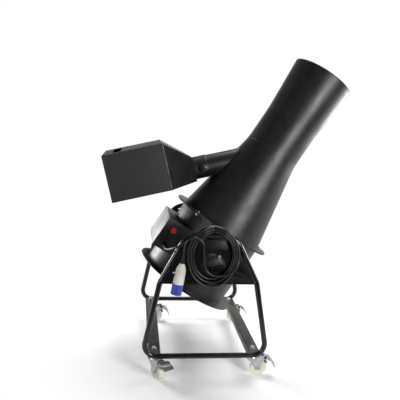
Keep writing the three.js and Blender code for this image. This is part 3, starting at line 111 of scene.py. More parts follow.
def camera_turn(yaw, pitch, roll):
    forward = Vector((math.sin(yaw) * math.cos(pitch), math.cos(yaw) * math.cos(pitch), -math.sin(pitch)))
    level = Vector((math.cos(yaw), -math.sin(yaw), 0))
    upright = level.cross(forward)
    right = level * math.cos(roll) + upright * math.sin(roll)
    up = upright * math.cos(roll) - level * math.sin(roll)
    return Matrix((right, up, -forward)).transposed().to_4x4()


camera_data = bpy.data.cameras.new("camera")
camera_data.sensor_width, camera_data.lens, camera_data.clip_end = SENSOR_WIDTH, FOCAL_LENGTH, SIGHT
camera = new_object("camera", camera_data)
camera_spot = Matrix.Translation(STAND @ CAMERA_PLACE)
camera.matrix_world = camera_spot @ camera_turn(CAMERA_YAW, CAMERA_PITCH, CAMERA_ROLL)
bpy.context.scene.camera = camera
print("camera at", [round(v, 3) for v in camera.location])

# %% [markdown]
# Every finish is a small tree of nodes. Colours are written the way a paint chart or a screen shows them,
# so one function turns them into the linear values that light works with. A second one adds a node, sets it
# and links it. A whole node given as a value stands for its first output.

# %% Colour and node helpers


def linear(hex_colour):
    channels = [int(hex_colour[i : i + 2], 16) / 255 for i in (1, 3, 5)]
    return [c / 12.92 if c <= 0.04045 else ((c + 0.055) / 1.055) ** 2.4 for c in channels] + [1]


def add(tree, kind, sockets=None, **settings):
    made = tree.nodes.new("ShaderNode" + kind)
    for key, value in settings.items():
        setattr(made, key, value)
    for key, value in (sockets or {}).items():
        source = value.outputs[0] if isinstance(value, bpy.types.Node) else value
        if isinstance(source, bpy.types.NodeSocket):
            tree.links.new(source, made.inputs[key])
        else:
            made.inputs[key].default_value = source
    return made


print("a mid grey is", round(linear("#808080")[0], 3), "in linear light")

# %% [markdown]
# Most of what shows is paint, moulded plastic or plated metal. Each has one colour, broken by a faint
# mottle where the film is thicker or the surface is handled, and a fine skin: orange peel on powder coat,
# spark grain on a moulding, rolling marks on metal. The skin's size is a real one in millimetres, so it
# reads the same on every piece. Marks that run one way are the same noise, drawn out along their length.

# %% Skin: the tree that all the finishes share
PATCH_SIZE = 70.0


def per_size(millimetres):
    return 1 / (millimetres * MM)


def skin(name, colour, paler, roughness, spread, grain, depth, metallic=0.0, ior=1.5, length=None):
    material = bpy.data.materials.new(name)
    material.use_nodes = True
    tree = material.node_tree
    tree.nodes.clear()
    place = marks = add(tree, "TexCoord").outputs["Object"]
    if length:
        marks = add(tree, "Mapping", {"Vector": place, "Scale": (grain / length, 1, 1)})
    cloud = {"Vector": place, "Scale": per_size(PATCH_SIZE), "Detail": 6.0, "Roughness": 0.62}
    patch = add(tree, "TexNoise", cloud)
    fine = add(tree, "TexNoise", {"Vector": marks, "Scale": per_size(grain), "Detail": 3.0})
    tint = add(tree, "MapRange", {"Value": patch, "From Min": 0.38, "From Max": 0.78})
    shade = add(tree, "Mix", {0: tint, 6: linear(colour), 7: linear(paler)}, data_type="RGBA")
    dulled = {"To Min": roughness - spread / 2, "To Max": roughness + spread}
    gloss = add(tree, "MapRange", {"Value": patch, "From Min": 0.3, "From Max": 0.75, **dulled})
    dents = add(tree, "Bump", {"Height": fine, "Strength": 1.0, "Distance": depth * MM})
    film = {"Base Color": shade.outputs[2], "Roughness": gloss, "Normal": dents}
    surface = add(tree, "BsdfPrincipled", {**film, "Metallic": metallic, "IOR": ior})
    add(tree, "OutputMaterial", {"Surface": surface})
    print("finish:", name)
    return material


# %% [markdown]
# Powder coat is sprayed as dry powder and baked, which leaves a satin film with a soft orange peel about a
# millimetre and a half across. The barrel has it in black. The hopper has the same powder in a matt grade,
# so its front swallows the light that its top only catches at a glance. The hopper's lip gets a paler and
# shinier grey, a painted highlight that stands in for the bright line of light along it.

# %% Powder coats
satin_powder = skin("powder_coat_satin_black", "#090a0b", "#101113", 0.42, 0.08, grain=1.6, depth=0.03)
matt_powder = skin("powder_coat_matt_black", "#131313", "#1c1c1b", 0.60, 0.10, grain=1.0, depth=0.04)
# Painted highlight: this coat's paler grey stands in for the bright line of light along the hopper's lip.
painted_highlight_powder = skin("powder_coat_painted_highlight", "#33332f", "#75756c", 0.36, 0.10, grain=1.0, depth=0.02)

# %% [markdown]
# The bent tubes are painted with a wet gloss enamel, which flows out smoother than powder and throws back
# thin bright lines. The cross bars are a worn dark grey. The control box's cover is a pale grey sheet whose
# paint has gone cloudy, so its mottle is strong. The motor is cast, and its grey paint keeps a little of
# the casting's grain.

# %% Enamels
gloss_enamel = skin("enamel_gloss_black", "#070708", "#0c0c0d", 0.20, 0.06, grain=5.0, depth=0.02)
grey_enamel = skin("enamel_dark_grey", "#2f2f2c", "#4a4a45", 0.42, 0.14, grain=2.0, depth=0.03)
pale_enamel = skin("enamel_pale_grey", "#6c6d75", "#b3b4bb", 0.46, 0.14, grain=2.5, depth=0.04)
motor_enamel = skin("enamel_motor_grey", "#5c6266", "#6d7377", 0.45, 0.12, grain=1.5, depth=0.05)

# %% [markdown]
# Small mouldings are polyamide and ABS. Polyamide comes out of the tool with a dull, slightly waxy skin,
# and the cream wheels are cloudy where they have rolled. ABS is glossier, and the older collar of the start
# button has faded. The sheath of the lead and the brake shoes are smooth synthetic rubber, a little dusty.

# %% Mouldings and rubber
black_polyamide = skin("polyamide_black", "#121212", "#1a1a1a", 0.30, 0.10, grain=0.8, depth=0.02)
blue_polyamide = skin("polyamide_blue", "#1d3590", "#2c46a8", 0.36, 0.10, grain=0.9, depth=0.02, ior=1.53)
cream_polyamide = skin("polyamide_cream", "#c0c2ae", "#dcddca", 0.46, 0.12, grain=1.2, depth=0.03, ior=1.53)
white_polyamide = skin("polyamide_grey_white", "#c2c2b8", "#d2d2c9", 0.42, 0.12, 0.9, 0.03, ior=1.53)
red_abs = skin("abs_red", "#c41420", "#d0202a", 0.24, 0.08, grain=1.2, depth=0.01)
dull_red_abs = skin("abs_dull_red", "#7d2f2e", "#8c3d3a", 0.36, 0.10, grain=1.2, depth=0.02)
sheath_rubber = skin("rubber_sheath_black", "#09090a", "#111112", 0.36, 0.12, grain=1.0, depth=0.015)

# %% [markdown]
# Bright zinc is plated over pressed steel. It is a metal, so it has almost no colour of its own and its
# look is all in the roughness: fine rolling marks run one way, and handling dulls it in clouds. Black oxide
# is a thin stain on the steel of the pivot bolts and the pedal pins, dark but still metal. Brass pins and
# the cast aluminium fan have their own colours and shorter marks.

# %% Plated and cast metals


def metal(name, colour, duller, roughness, spread, width, length, depth):
    return skin(name, colour, duller, roughness, spread, width, depth, metallic=1.0, length=length)


zinc = metal("zinc_plated_steel", "#b6b9bc", "#8f9396", 0.30, 0.16, width=0.7, length=6.0, depth=0.015)
black_oxide = metal("steel_black_oxide", "#191a1c", "#26272a", 0.34, 0.14, width=0.6, length=3.0, depth=0.01)
brass = metal("brass_turned", "#b99a55", "#9c8145", 0.26, 0.10, width=0.4, length=2.0, depth=0.01)
cast_aluminium = metal("aluminium_cast", "#a3a6a8", "#8b8e90", 0.48, 0.14, width=1.2, length=1.2, depth=0.08)

# %% [markdown]
# A turned piece is a profile spun round its axis, as a spun cone or a flange is. Its corners are always
# eased, because a real edge catches a thread of light that a perfect corner never does. Beside each eased
# corner a long wall gets one narrow ring more, which keeps its smooth shading flat right up to the corner.

# %% Turned pieces
ON_AXIS, NEARLY_STRAIGHT = 1e-6, math.radians(172)
EASED_SHARE, EASED_STEPS, LONG_WALL, HOLDING_WIDTH = 0.45, 3, 8, 1.2


def polar(radius, degrees, centre=(0, 0)):
    angle = math.radians(degrees)
    return centre[0] + radius * math.cos(angle), centre[1] + radius * math.sin(angle)


def arc(radius, start, end, steps, centre=(0, 0)):
    return [polar(radius, start + (end - start) * i / steps, centre) for i in range(steps + 1)]


def circle(radius, steps, centre=(0, 0)):
    return arc(radius, 0, 360, steps, centre)[:-1]


def eased(profile, radius):
    points, held = [], []
    for i, here in enumerate(profile):
        corner = Vector(here)
        back, on = Vector(profile[i - 1]) - corner, Vector(profile[(i + 1) % len(profile)]) - corner
        turn = back.angle(on, math.pi)
        if abs(corner.x) < ON_AXIS or turn > NEARLY_STRAIGHT or radius == 0:
            points.append(corner)
            continue
        reach = min(radius / math.tan(turn / 2), back.length * EASED_SHARE, on.length * EASED_SHARE)
        start, end = corner + back.normalized() * reach, corner + on.normalized() * reach
        for share in (step / EASED_STEPS for step in range(EASED_STEPS + 1)):
            points.append(start.lerp(corner, share).lerp(corner.lerp(end, share), share))
    for here, there in zip(points, points[1:] + points[:1]):
        held.append(here)
        length = (there - here).length
        if length > LONG_WALL and max(here.x, there.x) > ON_AXIS:
            held += [here.lerp(there, HOLDING_WIDTH / length), there.lerp(here, HOLDING_WIDTH / length)]
    return held


def turned(profile, sides, ease=0.6):
    rim = eased(profile, ease)
    verts = [(p.x * across, p.x * along, p.y) for across, along in circle(1, sides) for p in rim]
    faces = []
    for step in range(sides):
        here, there = step * len(rim), (step + 1) % sides * len(rim)
        for i, j in zip(range(len(rim)), [*range(1, len(rim)), 0]):
            if max(rim[i].x, rim[j].x) > ON_AXIS:
                faces.append((here + i, there + i, there + j, here + j))
    return verts, faces


def round_bar(radius, low, high, sides=32, ease=0.4):
    return turned([(0, low), (radius, low), (radius, high), (0, high)], sides, ease)


print("a turned bar has", len(round_bar(10, 0, 20)[1]), "faces")

# %% [markdown]
# A rod is a round section led along a line, as a bent tube or a cable is. The section is carried from point
# to point without a twist, so that its faces run straight along the tube. Its radius may change on the way.

# %% Rods


def walled(verts, count, loop=False):
    rows, faces = len(verts) // count, []
    pairs = [(s, (s + 1) % count) for s in range(count)]
    for row in range(rows if loop else rows - 1):
        here, there = row * count, (row + 1) % rows * count
        faces += [(here + s, there + s, there + t, here + t) for s, t in pairs]
    if not loop:
        faces += [tuple(reversed(range(count))), tuple(range(len(verts) - count, len(verts)))]
    return verts, faces


def rod(points, radius, sides=16, loop=False):
    points, verts, normal = [Vector(p) for p in points], [], None
    count, section = len(points), circle(1, sides)
    radii = radius if isinstance(radius, list) else [radius] * count
    for i, here in enumerate(points):
        before = points[i - 1] if i or loop else here
        after = points[(i + 1) % count] if i < count - 1 or loop else here
        along = ((here - before).normalized() + (after - here).normalized()).normalized()
        if normal is None:
            normal = along.orthogonal().normalized() if abs(along.y) > 0.9 else Vector((0, 1, 0))
        normal = (normal - along * normal.dot(along)).normalized()
        side = along.cross(normal)
        verts += [here + (normal * a + side * b) * radii[i] for a, b in section]
    return walled(verts, sides, loop)


print("a rod has", len(rod([(0, 0, 0), (0, 0, 9)], 1)[1]), "faces")

# %% [markdown]
# A sheet is an outline with holes, given a thickness and a broken edge, as a laser-cut plate is. Blender's
# own curve does both the filling and the edge, so nothing has to be stitched by hand. A hexagon head is a
# thick sheet.

# %% Sheets


def evaluated_mesh(made):
    return bpy.data.meshes.new_from_object(made.evaluated_get(bpy.context.evaluated_depsgraph_get()))


def sheet(outlines, low, high, ease=0.5):
    curve = bpy.data.curves.new("outline", "CURVE")
    curve.dimensions, curve.fill_mode = "2D", "BOTH"
    curve.extrude, curve.offset = (high - low) / 2 - ease, -ease
    curve.bevel_depth, curve.bevel_resolution = ease, 1
    for outline in outlines:
        spline = curve.splines.new("POLY")
        spline.points.add(len(outline) - 1)
        for point, place in zip(spline.points, outline):
            point.co = (*place, 0, 1)
        spline.use_cyclic_u = True
    holder = new_object("outline", curve)
    mesh = evaluated_mesh(holder)
    verts = [v.co + Vector((0, 0, (low + high) / 2)) for v in mesh.vertices]
    faces = [tuple(p.vertices) for p in mesh.polygons]
    bpy.data.objects.remove(holder)
    bpy.data.curves.remove(curve)
    bpy.data.meshes.remove(mesh)
    return verts, faces


def hexagon(radius, low, high, ease=0.5):
    return sheet([circle(radius, 6)], low, high, ease)


print("a hexagon has", len(hexagon(8, 0, 5)[1]), "faces")

# %% [markdown]
# A block is a box with rounded edges. A bevel rounds them, which is what bending or moulding does to a real
# one. Turned pieces, rods, sheets and blocks make nearly everything here.

# %% Blocks


def bevelled(shape, edges, ease, segments):
    if ease:
        bmesh.ops.bevel(shape, geom=edges, offset=ease, segments=segments, affect="EDGES", profile=0.5)
    shape.verts.index_update()
    made = [v.co.copy() for v in shape.verts], [tuple(v.index for v in f.verts) for f in shape.faces]
    shape.free()
    return made


def block(low, high, ease, segments=2):
    shape = bmesh.new()
    bmesh.ops.create_cube(shape, size=1)
    for vert in shape.verts:
        vert.co = Vector(low[i] + (vert.co[i] + 0.5) * (high[i] - low[i]) for i in range(3))
    return bevelled(shape, shape.edges[:], ease, segments)


print("a plain block has", len(block((0, 0, 0), (9, 9, 9), 0)[1]), "faces")

# %% [markdown]
# A shape is a list of points and a list of faces, so it can be moved, joined to others, or repeated round
# an axis before it becomes an object. Ribs, blades and screws in a ring are drawn once and then repeated.

# %% Moving, joining and repeating shapes


def moved(shape, matrix):
    return [matrix @ Vector(v) for v in shape[0]], shape[1]


def joined(*shapes):
    verts, faces = [], []
    for part_verts, part_faces in shapes:
        start = len(verts)
        verts += list(part_verts)
        faces += [tuple(i + start for i in face) for face in part_faces]
    return verts, faces


def ringed(shape, count, first=0):
    return joined(*(moved(shape, spun(first + 360 * i / count, "Z")) for i in range(count)))


print("four bars in a ring have", len(ringed(round_bar(1, 0, 9), 4)[1]), "faces")

# %% [markdown]
# Each finished piece is one object. Its points are placed once, from the drawing into the scene, and then
# it is given its finish, its body and the CAD solid that it stands for. Faces that meet at a shallow angle
# are shaded as one curved skin, and the rest keep their corner. Openings are cut with an exact boolean, as
# a saw would.

# %% Making a piece
WELDING_DISTANCE, CREASE = 0.002 * MM, 38


def clean_mesh(name, shape, place):
    mesh = bpy.data.meshes.new(name)
    mesh.from_pydata([place @ Vector(v) for v in shape[0]], [], shape[1])
    cleaned = bmesh.new()
    cleaned.from_mesh(mesh)
    bmesh.ops.remove_doubles(cleaned, verts=cleaned.verts, dist=WELDING_DISTANCE)
    bmesh.ops.recalc_face_normals(cleaned, faces=cleaned.faces)
    cleaned.to_mesh(mesh)
    cleaned.free()
    return mesh


def piece(name, shape, place, finish, body, *replaced, crease=CREASE):
    mesh = clean_mesh(name, shape, place)
    mesh.shade_smooth()
    mesh.set_sharp_from_angle(angle=math.radians(crease))
    mesh.materials.append(finish)
    made = new_object(name, mesh)
    if body:
        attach(made, body)
    if replaced:
        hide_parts(*replaced)
    print(name, len(mesh.polygons), "faces")
    return made


def cut(made, shape, place):
    tool = new_object("cutter", clean_mesh("cutter", shape, place))
    change = made.modifiers.new("cut", "BOOLEAN")
    change.operation, change.solver, change.object = "DIFFERENCE", "EXACT", tool
    result, old, tool_mesh = evaluated_mesh(made), made.data, tool.data
    made.modifiers.clear()
    made.data = result
    bpy.data.meshes.remove(old)
    bpy.data.objects.remove(tool)
    bpy.data.meshes.remove(tool_mesh)
    result.name = made.name
    result.set_sharp_from_angle(angle=math.radians(CREASE))
    print(made.name, "has an opening, now", len(result.polygons), "faces")


# %% [markdown]
# The mains lead is rubber cable, nine and a half millimetres thick. It leaves the gland, crosses to the
# near frame, lies over its top tube in five and three eighths turns, and ends in the hanging plug. Each
# turn's place comes from its angle: it is tight over the tube and hangs clear of it below. It turns inward
# first and then outward again in a second layer, so no turn passes through another.

# %% The turns of the coil
CORD_RADIUS = 4.75
COIL_TURNS, COIL_START, COIL_STEPS = 5.375, math.radians(135), 120
COIL_CENTRE = Vector((10, 0, 610))
# Each pair is for the right and the left half, or for the upper and the lower half
COIL_HALF_WIDTHS, COIL_WIDTH_PITCHES = (91.3, 91.3), (10.2, 12)
COIL_HALF_HEIGHTS, COIL_HEIGHT_PITCHES = (105.9, 109), (10.2, 19.7)
COIL_LAYER_PITCH, CREST_SHARE, CREST_SPAN = 11.2, 0.3, math.radians(30)
COIL_BACK = -STAND_HALF - TUBE_RADIUS - CORD_RADIUS - 0.8 - SEAT_GAP


def coil_point(turn):
    inward = (COIL_TURNS - 0.5) / 2
    climbed = min(max((turn - inward) / 0.5, 0), 1)
    climb = climbed * climbed * (3 - 2 * climbed)
    outside = max(inward - turn, turn - inward - 0.5, 0)
    angle = COIL_START - 2 * math.pi * turn
    across, up = math.cos(angle), math.sin(angle)
    half_width = COIL_HALF_WIDTHS[across <= 0] + COIL_WIDTH_PITCHES[across <= 0] * outside
    half_height = COIL_HALF_HEIGHTS[up <= 0] + COIL_HEIGHT_PITCHES[up <= 0] * outside
    from_top = min(math.acos(max(min(up, 1), -1)) / CREST_SPAN, 1)
    hang = math.hypot(math.sin(from_top * math.pi / 2), CREST_SHARE) / math.hypot(1, CREST_SHARE)
    crest = -STAND_HALF + COIL_LAYER_PITCH / 2
    y = crest + (COIL_BACK - crest) * hang - COIL_LAYER_PITCH * climb
    return COIL_CENTRE + Vector((half_width * across, y, half_height * up))


wound = [coil_point(i / COIL_STEPS) for i in range(int(COIL_TURNS * COIL_STEPS) + 1)]
print("points along the coil:", len(wound))

# %% [markdown]
# The two free stretches follow places that were read from the picture: from the gland to the coil, and from
# the coil in a loose loop down to the plug. A smooth curve runs through them. It is the kind whose steps
# grow with the root of the distance, because that kind never loops or overshoots between uneven places.

# %% The free stretches
PLUG_PLACE, PLUG_LEAN, CURVE_STEPS = Vector((-130, -408, 576)), 9, 8
LEAD_ROUTE = """
-199.8,-202.3,601.6 -199.8,-213,601.6 -199.5,-245,603.5 -197,-285,609 -190,-325,618 -177,-360,630
-158,-385,643.5 -136,-391,656 -113,-388,669 -95.5,-386.8,682.5
"""
TAIL_ROUTE = """
125.4,-397,588 123,-401,574 115,-405.6,557 100,-408.4,541 77,-408.4,529 50,-408.4,522 24,-408.4,521
0,-408.4,528 -19,-408.4,545 -29,-408.4,569 -32.5,-408.4,602 -35.5,-408.4,630 -37.5,-408.4,653
-43,-408.4,674 -58,-408.4,689 -79,-408.4,695 -100,-408.3,689 -115,-408.1,674 -121.4,-408,648
-124,-408,618 -127.4,-408,592.2
"""


def route(text):
    return [Vector(float(v) for v in place.split(",")) for place in text.split()]


def curve_through(points):
    ends = [2 * points[0] - points[1], *points, 2 * points[-1] - points[-2]]
    smooth = []
    for i in range(1, len(ends) - 2):
        a, b, c, d = ends[i - 1 : i + 3]
        knots = [0.0]
        for start, stop in ((a, b), (b, c), (c, d)):
            knots.append(knots[-1] + math.sqrt((stop - start).length))
        k0, k1, k2, k3 = knots
        for step in range(CURVE_STEPS):
            t = k1 + (k2 - k1) * step / CURVE_STEPS
            ab, bc, cd = (
                start.lerp(stop, (t - low) / (high - low))
                for start, stop, low, high in ((a, b, k0, k1), (b, c, k1, k2), (c, d, k2, k3))
            )
            abc, bcd = ab.lerp(bc, (t - k0) / (k2 - k0)), bc.lerp(cd, (t - k1) / (k3 - k1))
            smooth.append(abc.lerp(bcd, (t - k1) / (k2 - k1)))
    return smooth + [points[-1]]


lead_route, tail_route = route(LEAD_ROUTE), route(TAIL_ROUTE)
print("places read for the lead and the tail:", len(lead_route), len(tail_route))

# %% [markdown]
# A round section is swept along each route. The lead and the tail run on straight from the ends of the coil
# for one cord diameter, so the three read as one cable. The stretch from the gland has one end on the
# barrel and one on the stand, so it is a piece of its own.

# %% Lead, coil and tail
IN_PLACE, CORD_SIDES = Matrix.Identity(4), 18


def straight_on(start, end):
    return end + (end - start).normalized() * 2 * CORD_RADIUS


def cable(name, line, body, *replaced):
    return piece(name, rod(line, CORD_RADIUS * MM, CORD_SIDES), IN_PLACE, sheath_rubber, body, *replaced)


plug_top = PLUG_PLACE + spun(PLUG_LEAN, "Y") @ Vector((0, 0, 2))
coil_start, coil_end = straight_on(wound[1], wound[0]), straight_on(wound[-2], wound[-1])
lead_points = [lead_route[0], *curve_through([*lead_route[1:], coil_start]), wound[0]]
coil_points = [*wound, *curve_through([coil_end, *tail_route, plug_top])]
lead_line, coil_line = ([STAND @ p for p in points] for points in (lead_points, coil_points))
lead = cable("mains_lead_from_gland", lead_line, None, "cord_lead")
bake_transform(lead)
coil = cable("mains_lead_coil", coil_line, "stand", "cord_coil", "cord_tail")

# %% [markdown]
# The cable is gripped where it leaves the gland and where it enters the plug. Each has a soft ribbed boot
# that tapers to the cable's own thickness, so that the cable never bends over a hard edge.

# %% Boots on the cable
BOOT_LENGTH, BOOT_RADIUS, BOOT_RIBS, RIB_DEPTH = 32, 8, 6, 0.9


def boot():
    profile = [(0, -4), (BOOT_RADIUS, -4)]
    for share in (rib / BOOT_RIBS for rib in range(BOOT_RIBS)):
        low = BOOT_LENGTH * share
        top = BOOT_RADIUS + (CORD_RADIUS + 0.8 - BOOT_RADIUS) * share
        profile += [(top, low), (top, low + 3.6), (top - RIB_DEPTH, low + 3.9), (top - RIB_DEPTH, low + 5.1)]
    return turned([*profile, (CORD_RADIUS + 0.3, BOOT_LENGTH), (0, BOOT_LENGTH)], 40, 0.3)


gland_mouth = STAND @ Matrix.Translation(lead_route[0]) @ FACING_NEAR
PLUG = STAND @ Matrix.Translation(PLUG_PLACE) @ spun(PLUG_LEAN, "Y")
piece("gland_boot", boot(), gland_mouth, black_polyamide, "barrel")
plug_boot = piece("plug_boot", boot(), PLUG, black_polyamide, "stand")

# %% [markdown]
# The casing is rolled from 3 mm sheet, closed with one weld, and carries a flat ring flange at each end.
# Painted weld beads show as a rounded ripple where the flanges meet the sheet. A bead is a rod whose
# thickness swells and shrinks a little along its run. Two ripples of different pace are mixed, so that it
# doesn't look stamped.

# %% Fan casing
CASING_RADIUS, CASING_WALL, CASING_LENGTH, CASING_SEAM = 225, 3, 345.7, 110
BARREL_SIDES, THROAT_SIDES, PIPE_SIDES = 192, 160, 128
FLANGE_RADIUS, FLANGE_THICKNESS = 269.5, 4
BEAD_RADIUS, BEAD_LIFT, BEAD_SPACING, BEAD_SIDES, BEAD_RING_STEPS = 1.8, 0.8, 3, 8, 300
# How deep each ripple is, as a share of the radius, and its turn from point to point in radians
BEAD_RIPPLES = ((0.14, 2.1), (0.06, 0.77))


def bead(points, radius=BEAD_RADIUS, loop=False):
    swells = [1 + sum(depth * math.sin(i * pace) for depth, pace in BEAD_RIPPLES) for i in range(len(points))]
    return rod(points, [radius * swell for swell in swells], BEAD_SIDES, loop)


def bead_ring(radius, level, thickness=BEAD_RADIUS, steps=BEAD_RING_STEPS):
    return bead([(*p, level) for p in circle(radius, steps)], thickness, loop=True)


def line_between(start, end):
    start, end = Vector(start), Vector(end)
    count = max(int((end - start).length / BEAD_SPACING), 2)
    return [start.lerp(end, i / count) for i in range(count + 1)]


casing_inside, casing_low, casing_high = CASING_RADIUS - CASING_WALL, -CASING_LENGTH, -SEAT_GAP
wall_low, wall_high = casing_low + FLANGE_THICKNESS, casing_high - FLANGE_THICKNESS
casing_profile = [(casing_inside, casing_low), (FLANGE_RADIUS, casing_low), (FLANGE_RADIUS, wall_low)]
casing_profile += [(CASING_RADIUS, wall_low), (CASING_RADIUS, wall_high), (FLANGE_RADIUS, wall_high)]
casing_profile += [(FLANGE_RADIUS, casing_high), (casing_inside, casing_high)]
piece("fan_casing_shell", turned(casing_profile, BARREL_SIDES), BARREL, satin_powder, "barrel", "fan_casing")
seam = polar(CASING_RADIUS, CASING_SEAM)
casing_welds = joined(
    bead_ring(CASING_RADIUS + BEAD_LIFT, wall_low + BEAD_LIFT),
    bead_ring(CASING_RADIUS + BEAD_LIFT, wall_high - BEAD_LIFT),
    bead(line_between((*seam, wall_low), (*seam, wall_high)), 1.6),
)
piece("fan_casing_welds", casing_welds, BARREL, satin_powder, "barrel")

# %% [markdown]
# Above the casing the sheet narrows in a cone, runs straight through the throat and opens again in the
# mouth. Spun sheet has no hard corner where they meet, so the wall's angle changes over 32 mm on either
# side. One formula for the wall's radius at each level keeps pieces, welds and seams on the same line.

# %% The line of the wall
THROAT_RADIUS, THROAT_START = 141, 454.7
MOUTH_RADIUS, MOUTH_START, MOUTH_END = 161, 639.2, 914.6
BEND_REACH, BEND_STEPS = 32, 8


def cone_radius(level):
    return CASING_RADIUS + (THROAT_RADIUS - CASING_RADIUS) * min(max(level / THROAT_START, 0), 1)


def softened(level):
    return max(level, 0) if abs(level) > BEND_REACH else (level + BEND_REACH) ** 2 / (4 * BEND_REACH)


def barrel_radius(level):
    narrowing = (THROAT_RADIUS - CASING_RADIUS) / THROAT_START * (level - softened(level - THROAT_START))
    widening = (MOUTH_RADIUS - THROAT_RADIUS) / (MOUTH_END - MOUTH_START) * softened(level - MOUTH_START)
    return CASING_RADIUS + narrowing + widening


def bend(start, end):
    levels = [start + (end - start) * i / BEND_STEPS for i in range(BEND_STEPS + 1)]
    return [(barrel_radius(level), level) for level in levels]


print("wall's radius at the throat's start, mm:", round(barrel_radius(THROAT_START), 2))

# %% [markdown]
# Cone and throat are turned from that line, each with its own thickness inside. The cone carries the upper
# flange of the joint and has a hole for the branch pipe, which is cut along the pipe's axis.

# %% Cone and throat
PIPE_RADIUS, PIPE_ROOT, PIPE_END = 55, 60, 409
cone_profile = [(CASING_RADIUS - SHEET, 0), (FLANGE_RADIUS, 0), (FLANGE_RADIUS, FLANGE_THICKNESS)]
cone_profile += [(cone_radius(FLANGE_THICKNESS), FLANGE_THICKNESS)]
cone_profile += [*bend(THROAT_START - BEND_REACH, THROAT_START), (THROAT_RADIUS - SHEET, THROAT_START)]
cone = piece("cone_shell", turned(cone_profile, BARREL_SIDES), BARREL, satin_powder, "barrel", "cone")
cut(cone, round_bar(PIPE_RADIUS - SHEET, PIPE_ROOT, PIPE_END, 96, 0), FEED)
throat_start = THROAT_START + SEAT_GAP
throat_profile = [(THROAT_RADIUS - SHEET, throat_start), *bend(throat_start, THROAT_START + BEND_REACH)]
throat_profile += [*bend(MOUTH_START - BEND_REACH, MOUTH_START), (THROAT_RADIUS - SHEET, MOUTH_START)]
piece("throat_shell", turned(throat_profile, THROAT_SIDES), BARREL, satin_powder, "barrel", "throat_tube")

# %% [markdown]
# The mouth's edge is rolled over a wire, so that it is stiff and safe to hold: an arc at the end of the
# profile. The welds at the two joints are ground nearly flush, and only a thin line is left of them. The
# cone itself is rolled from flat sheet and has one long seam at the back.

# %% Mouth and seams
ROLL_RADIUS, FLUSH, FLUSH_BEAD, SEAM_BEAD = 2.2, 0.9, 1.3, 1.4
CONE_SEAM = Vector((-0.94, 0.342))
mouth_start, rim = MOUTH_START + SEAT_GAP, MOUTH_END - ROLL_RADIUS
mouth_profile = [(THROAT_RADIUS - SHEET, mouth_start), *bend(mouth_start, mouth_start + BEND_REACH)]
rolled = arc(ROLL_RADIUS, -70, 180, 10, (MOUTH_RADIUS - ROLL_RADIUS, rim))
mouth_profile += [(MOUTH_RADIUS - 1.2, rim - 4), *rolled, (MOUTH_RADIUS - SHEET - ROLL_RADIUS, rim - 4)]
mouth = turned(mouth_profile, THROAT_SIDES, 0.3)
piece("mouth_shell", mouth, BARREL, satin_powder, "barrel", "mouth_flare", crease=60)
cone_seam = [(*(CONE_SEAM * barrel_radius(s)), s) for s in range(6, int(THROAT_START), BEAD_SPACING)]
cone_welds = [bead_ring(cone_radius(5) + 0.6, FLANGE_THICKNESS + BEAD_LIFT), bead(cone_seam, SEAM_BEAD)]
for level in (THROAT_START, MOUTH_START):
    cone_welds.append(bead_ring(barrel_radius(level) - FLUSH, level + 0.2, FLUSH_BEAD))
piece("cone_welds", joined(*cone_welds), BARREL, satin_powder, "barrel")

# %% [markdown]
# The joint flange is held by bolts, of which one shows at the left and one at the right. A third goes where
# it can't be seen, so that the joint would close all round. Each is a zinc hexagon bolt with a washer on
# either side and a nut below. A thread is drawn as plain rings, as its slope doesn't show at this size.

# %% Bolts of the flange joint
THREAD_PITCH, THREAD_DEPTH = 1.25, 0.55
BOLT_CIRCLE = 248


def threaded(radius, low, high):
    profile = [(0, low)]
    for level in (low + i * THREAD_PITCH for i in range(int((high - low) / THREAD_PITCH))):
        profile += [(radius - THREAD_DEPTH, level), (radius, level + THREAD_PITCH / 2)]
    return turned([*profile, (radius - 0.8, high), (0, high)], 24, 0)


def flange_bolt():
    seat, under = FLANGE_THICKNESS + 0.05, -SEAT_GAP - FLANGE_THICKNESS - 0.05
    washers = [round_bar(9, seat, seat + 1.4), round_bar(9, under - 1.4, under)]
    head = [hexagon(8, seat + 1.2, seat + 6.2), round_bar(6.4, seat + 6, seat + 6.5)]
    return joined(*washers, *head, hexagon(8, under - 6.2, under - 1.2), threaded(4, under - 10, seat))


for degrees, *replaced in ((-135, "flange_bolt_left"), (0, "flange_bolt_right"), (135,)):
    place = BARREL @ spun(degrees, "Z") @ shifted(BOLT_CIRCLE)
    piece(f"joint_bolt_{degrees % 360}", flange_bolt(), place, zinc, "barrel", *replaced)

# %% [markdown]
# A folded or bent edge is a true arc. This helper takes an outline with sharp corners and a bend radius for
# each, and puts the arcs in. The casing's own curve is here too, because several pieces are trimmed to it.

# %% Rounded outlines
BEND_ARC_STEPS = 6


def rounded(points, radii, steps=BEND_ARC_STEPS):
    outline = []
    for i, here in enumerate(points):
        corner = Vector(here)
        if not radii[i]:
            outline.append(tuple(corner))
            continue
        back = (Vector(points[i - 1]) - corner).normalized()
        on = (Vector(points[(i + 1) % len(points)]) - corner).normalized()
        half = back.angle(on) / 2
        centre = corner + (back + on).normalized() * radii[i] / math.sin(half)
        first, last = (corner + way * radii[i] / math.tan(half) - centre for way in (back, on))
        sweep = first.angle_signed(last)
        outline += [tuple(centre + Matrix.Rotation(-sweep * s / steps, 2) @ first) for s in range(steps + 1)]
    return outline


def frame_outline(x0, x1, half, radius):
    return rounded([(x0, -half), (x1, -half), (x1, half), (x0, half)], [radius] * 4)


def on_casing(across):
    return math.sqrt((CASING_RADIUS + CLEAR) ** 2 - across * across)


print("a rounded frame has", len(frame_outline(-9, 9, 5, 1)), "points")

# %% [markdown]
# A trunnion is a channel folded from 4 mm sheet. Its two sides are trimmed to the casing and welded there,
# and its web faces the stand's plate, where the pivot bolt and the lock bolt pass through. The channel is
# an outline, pulled out to its length as a sheet. Both bolts come from one function, because they differ in
# size alone.

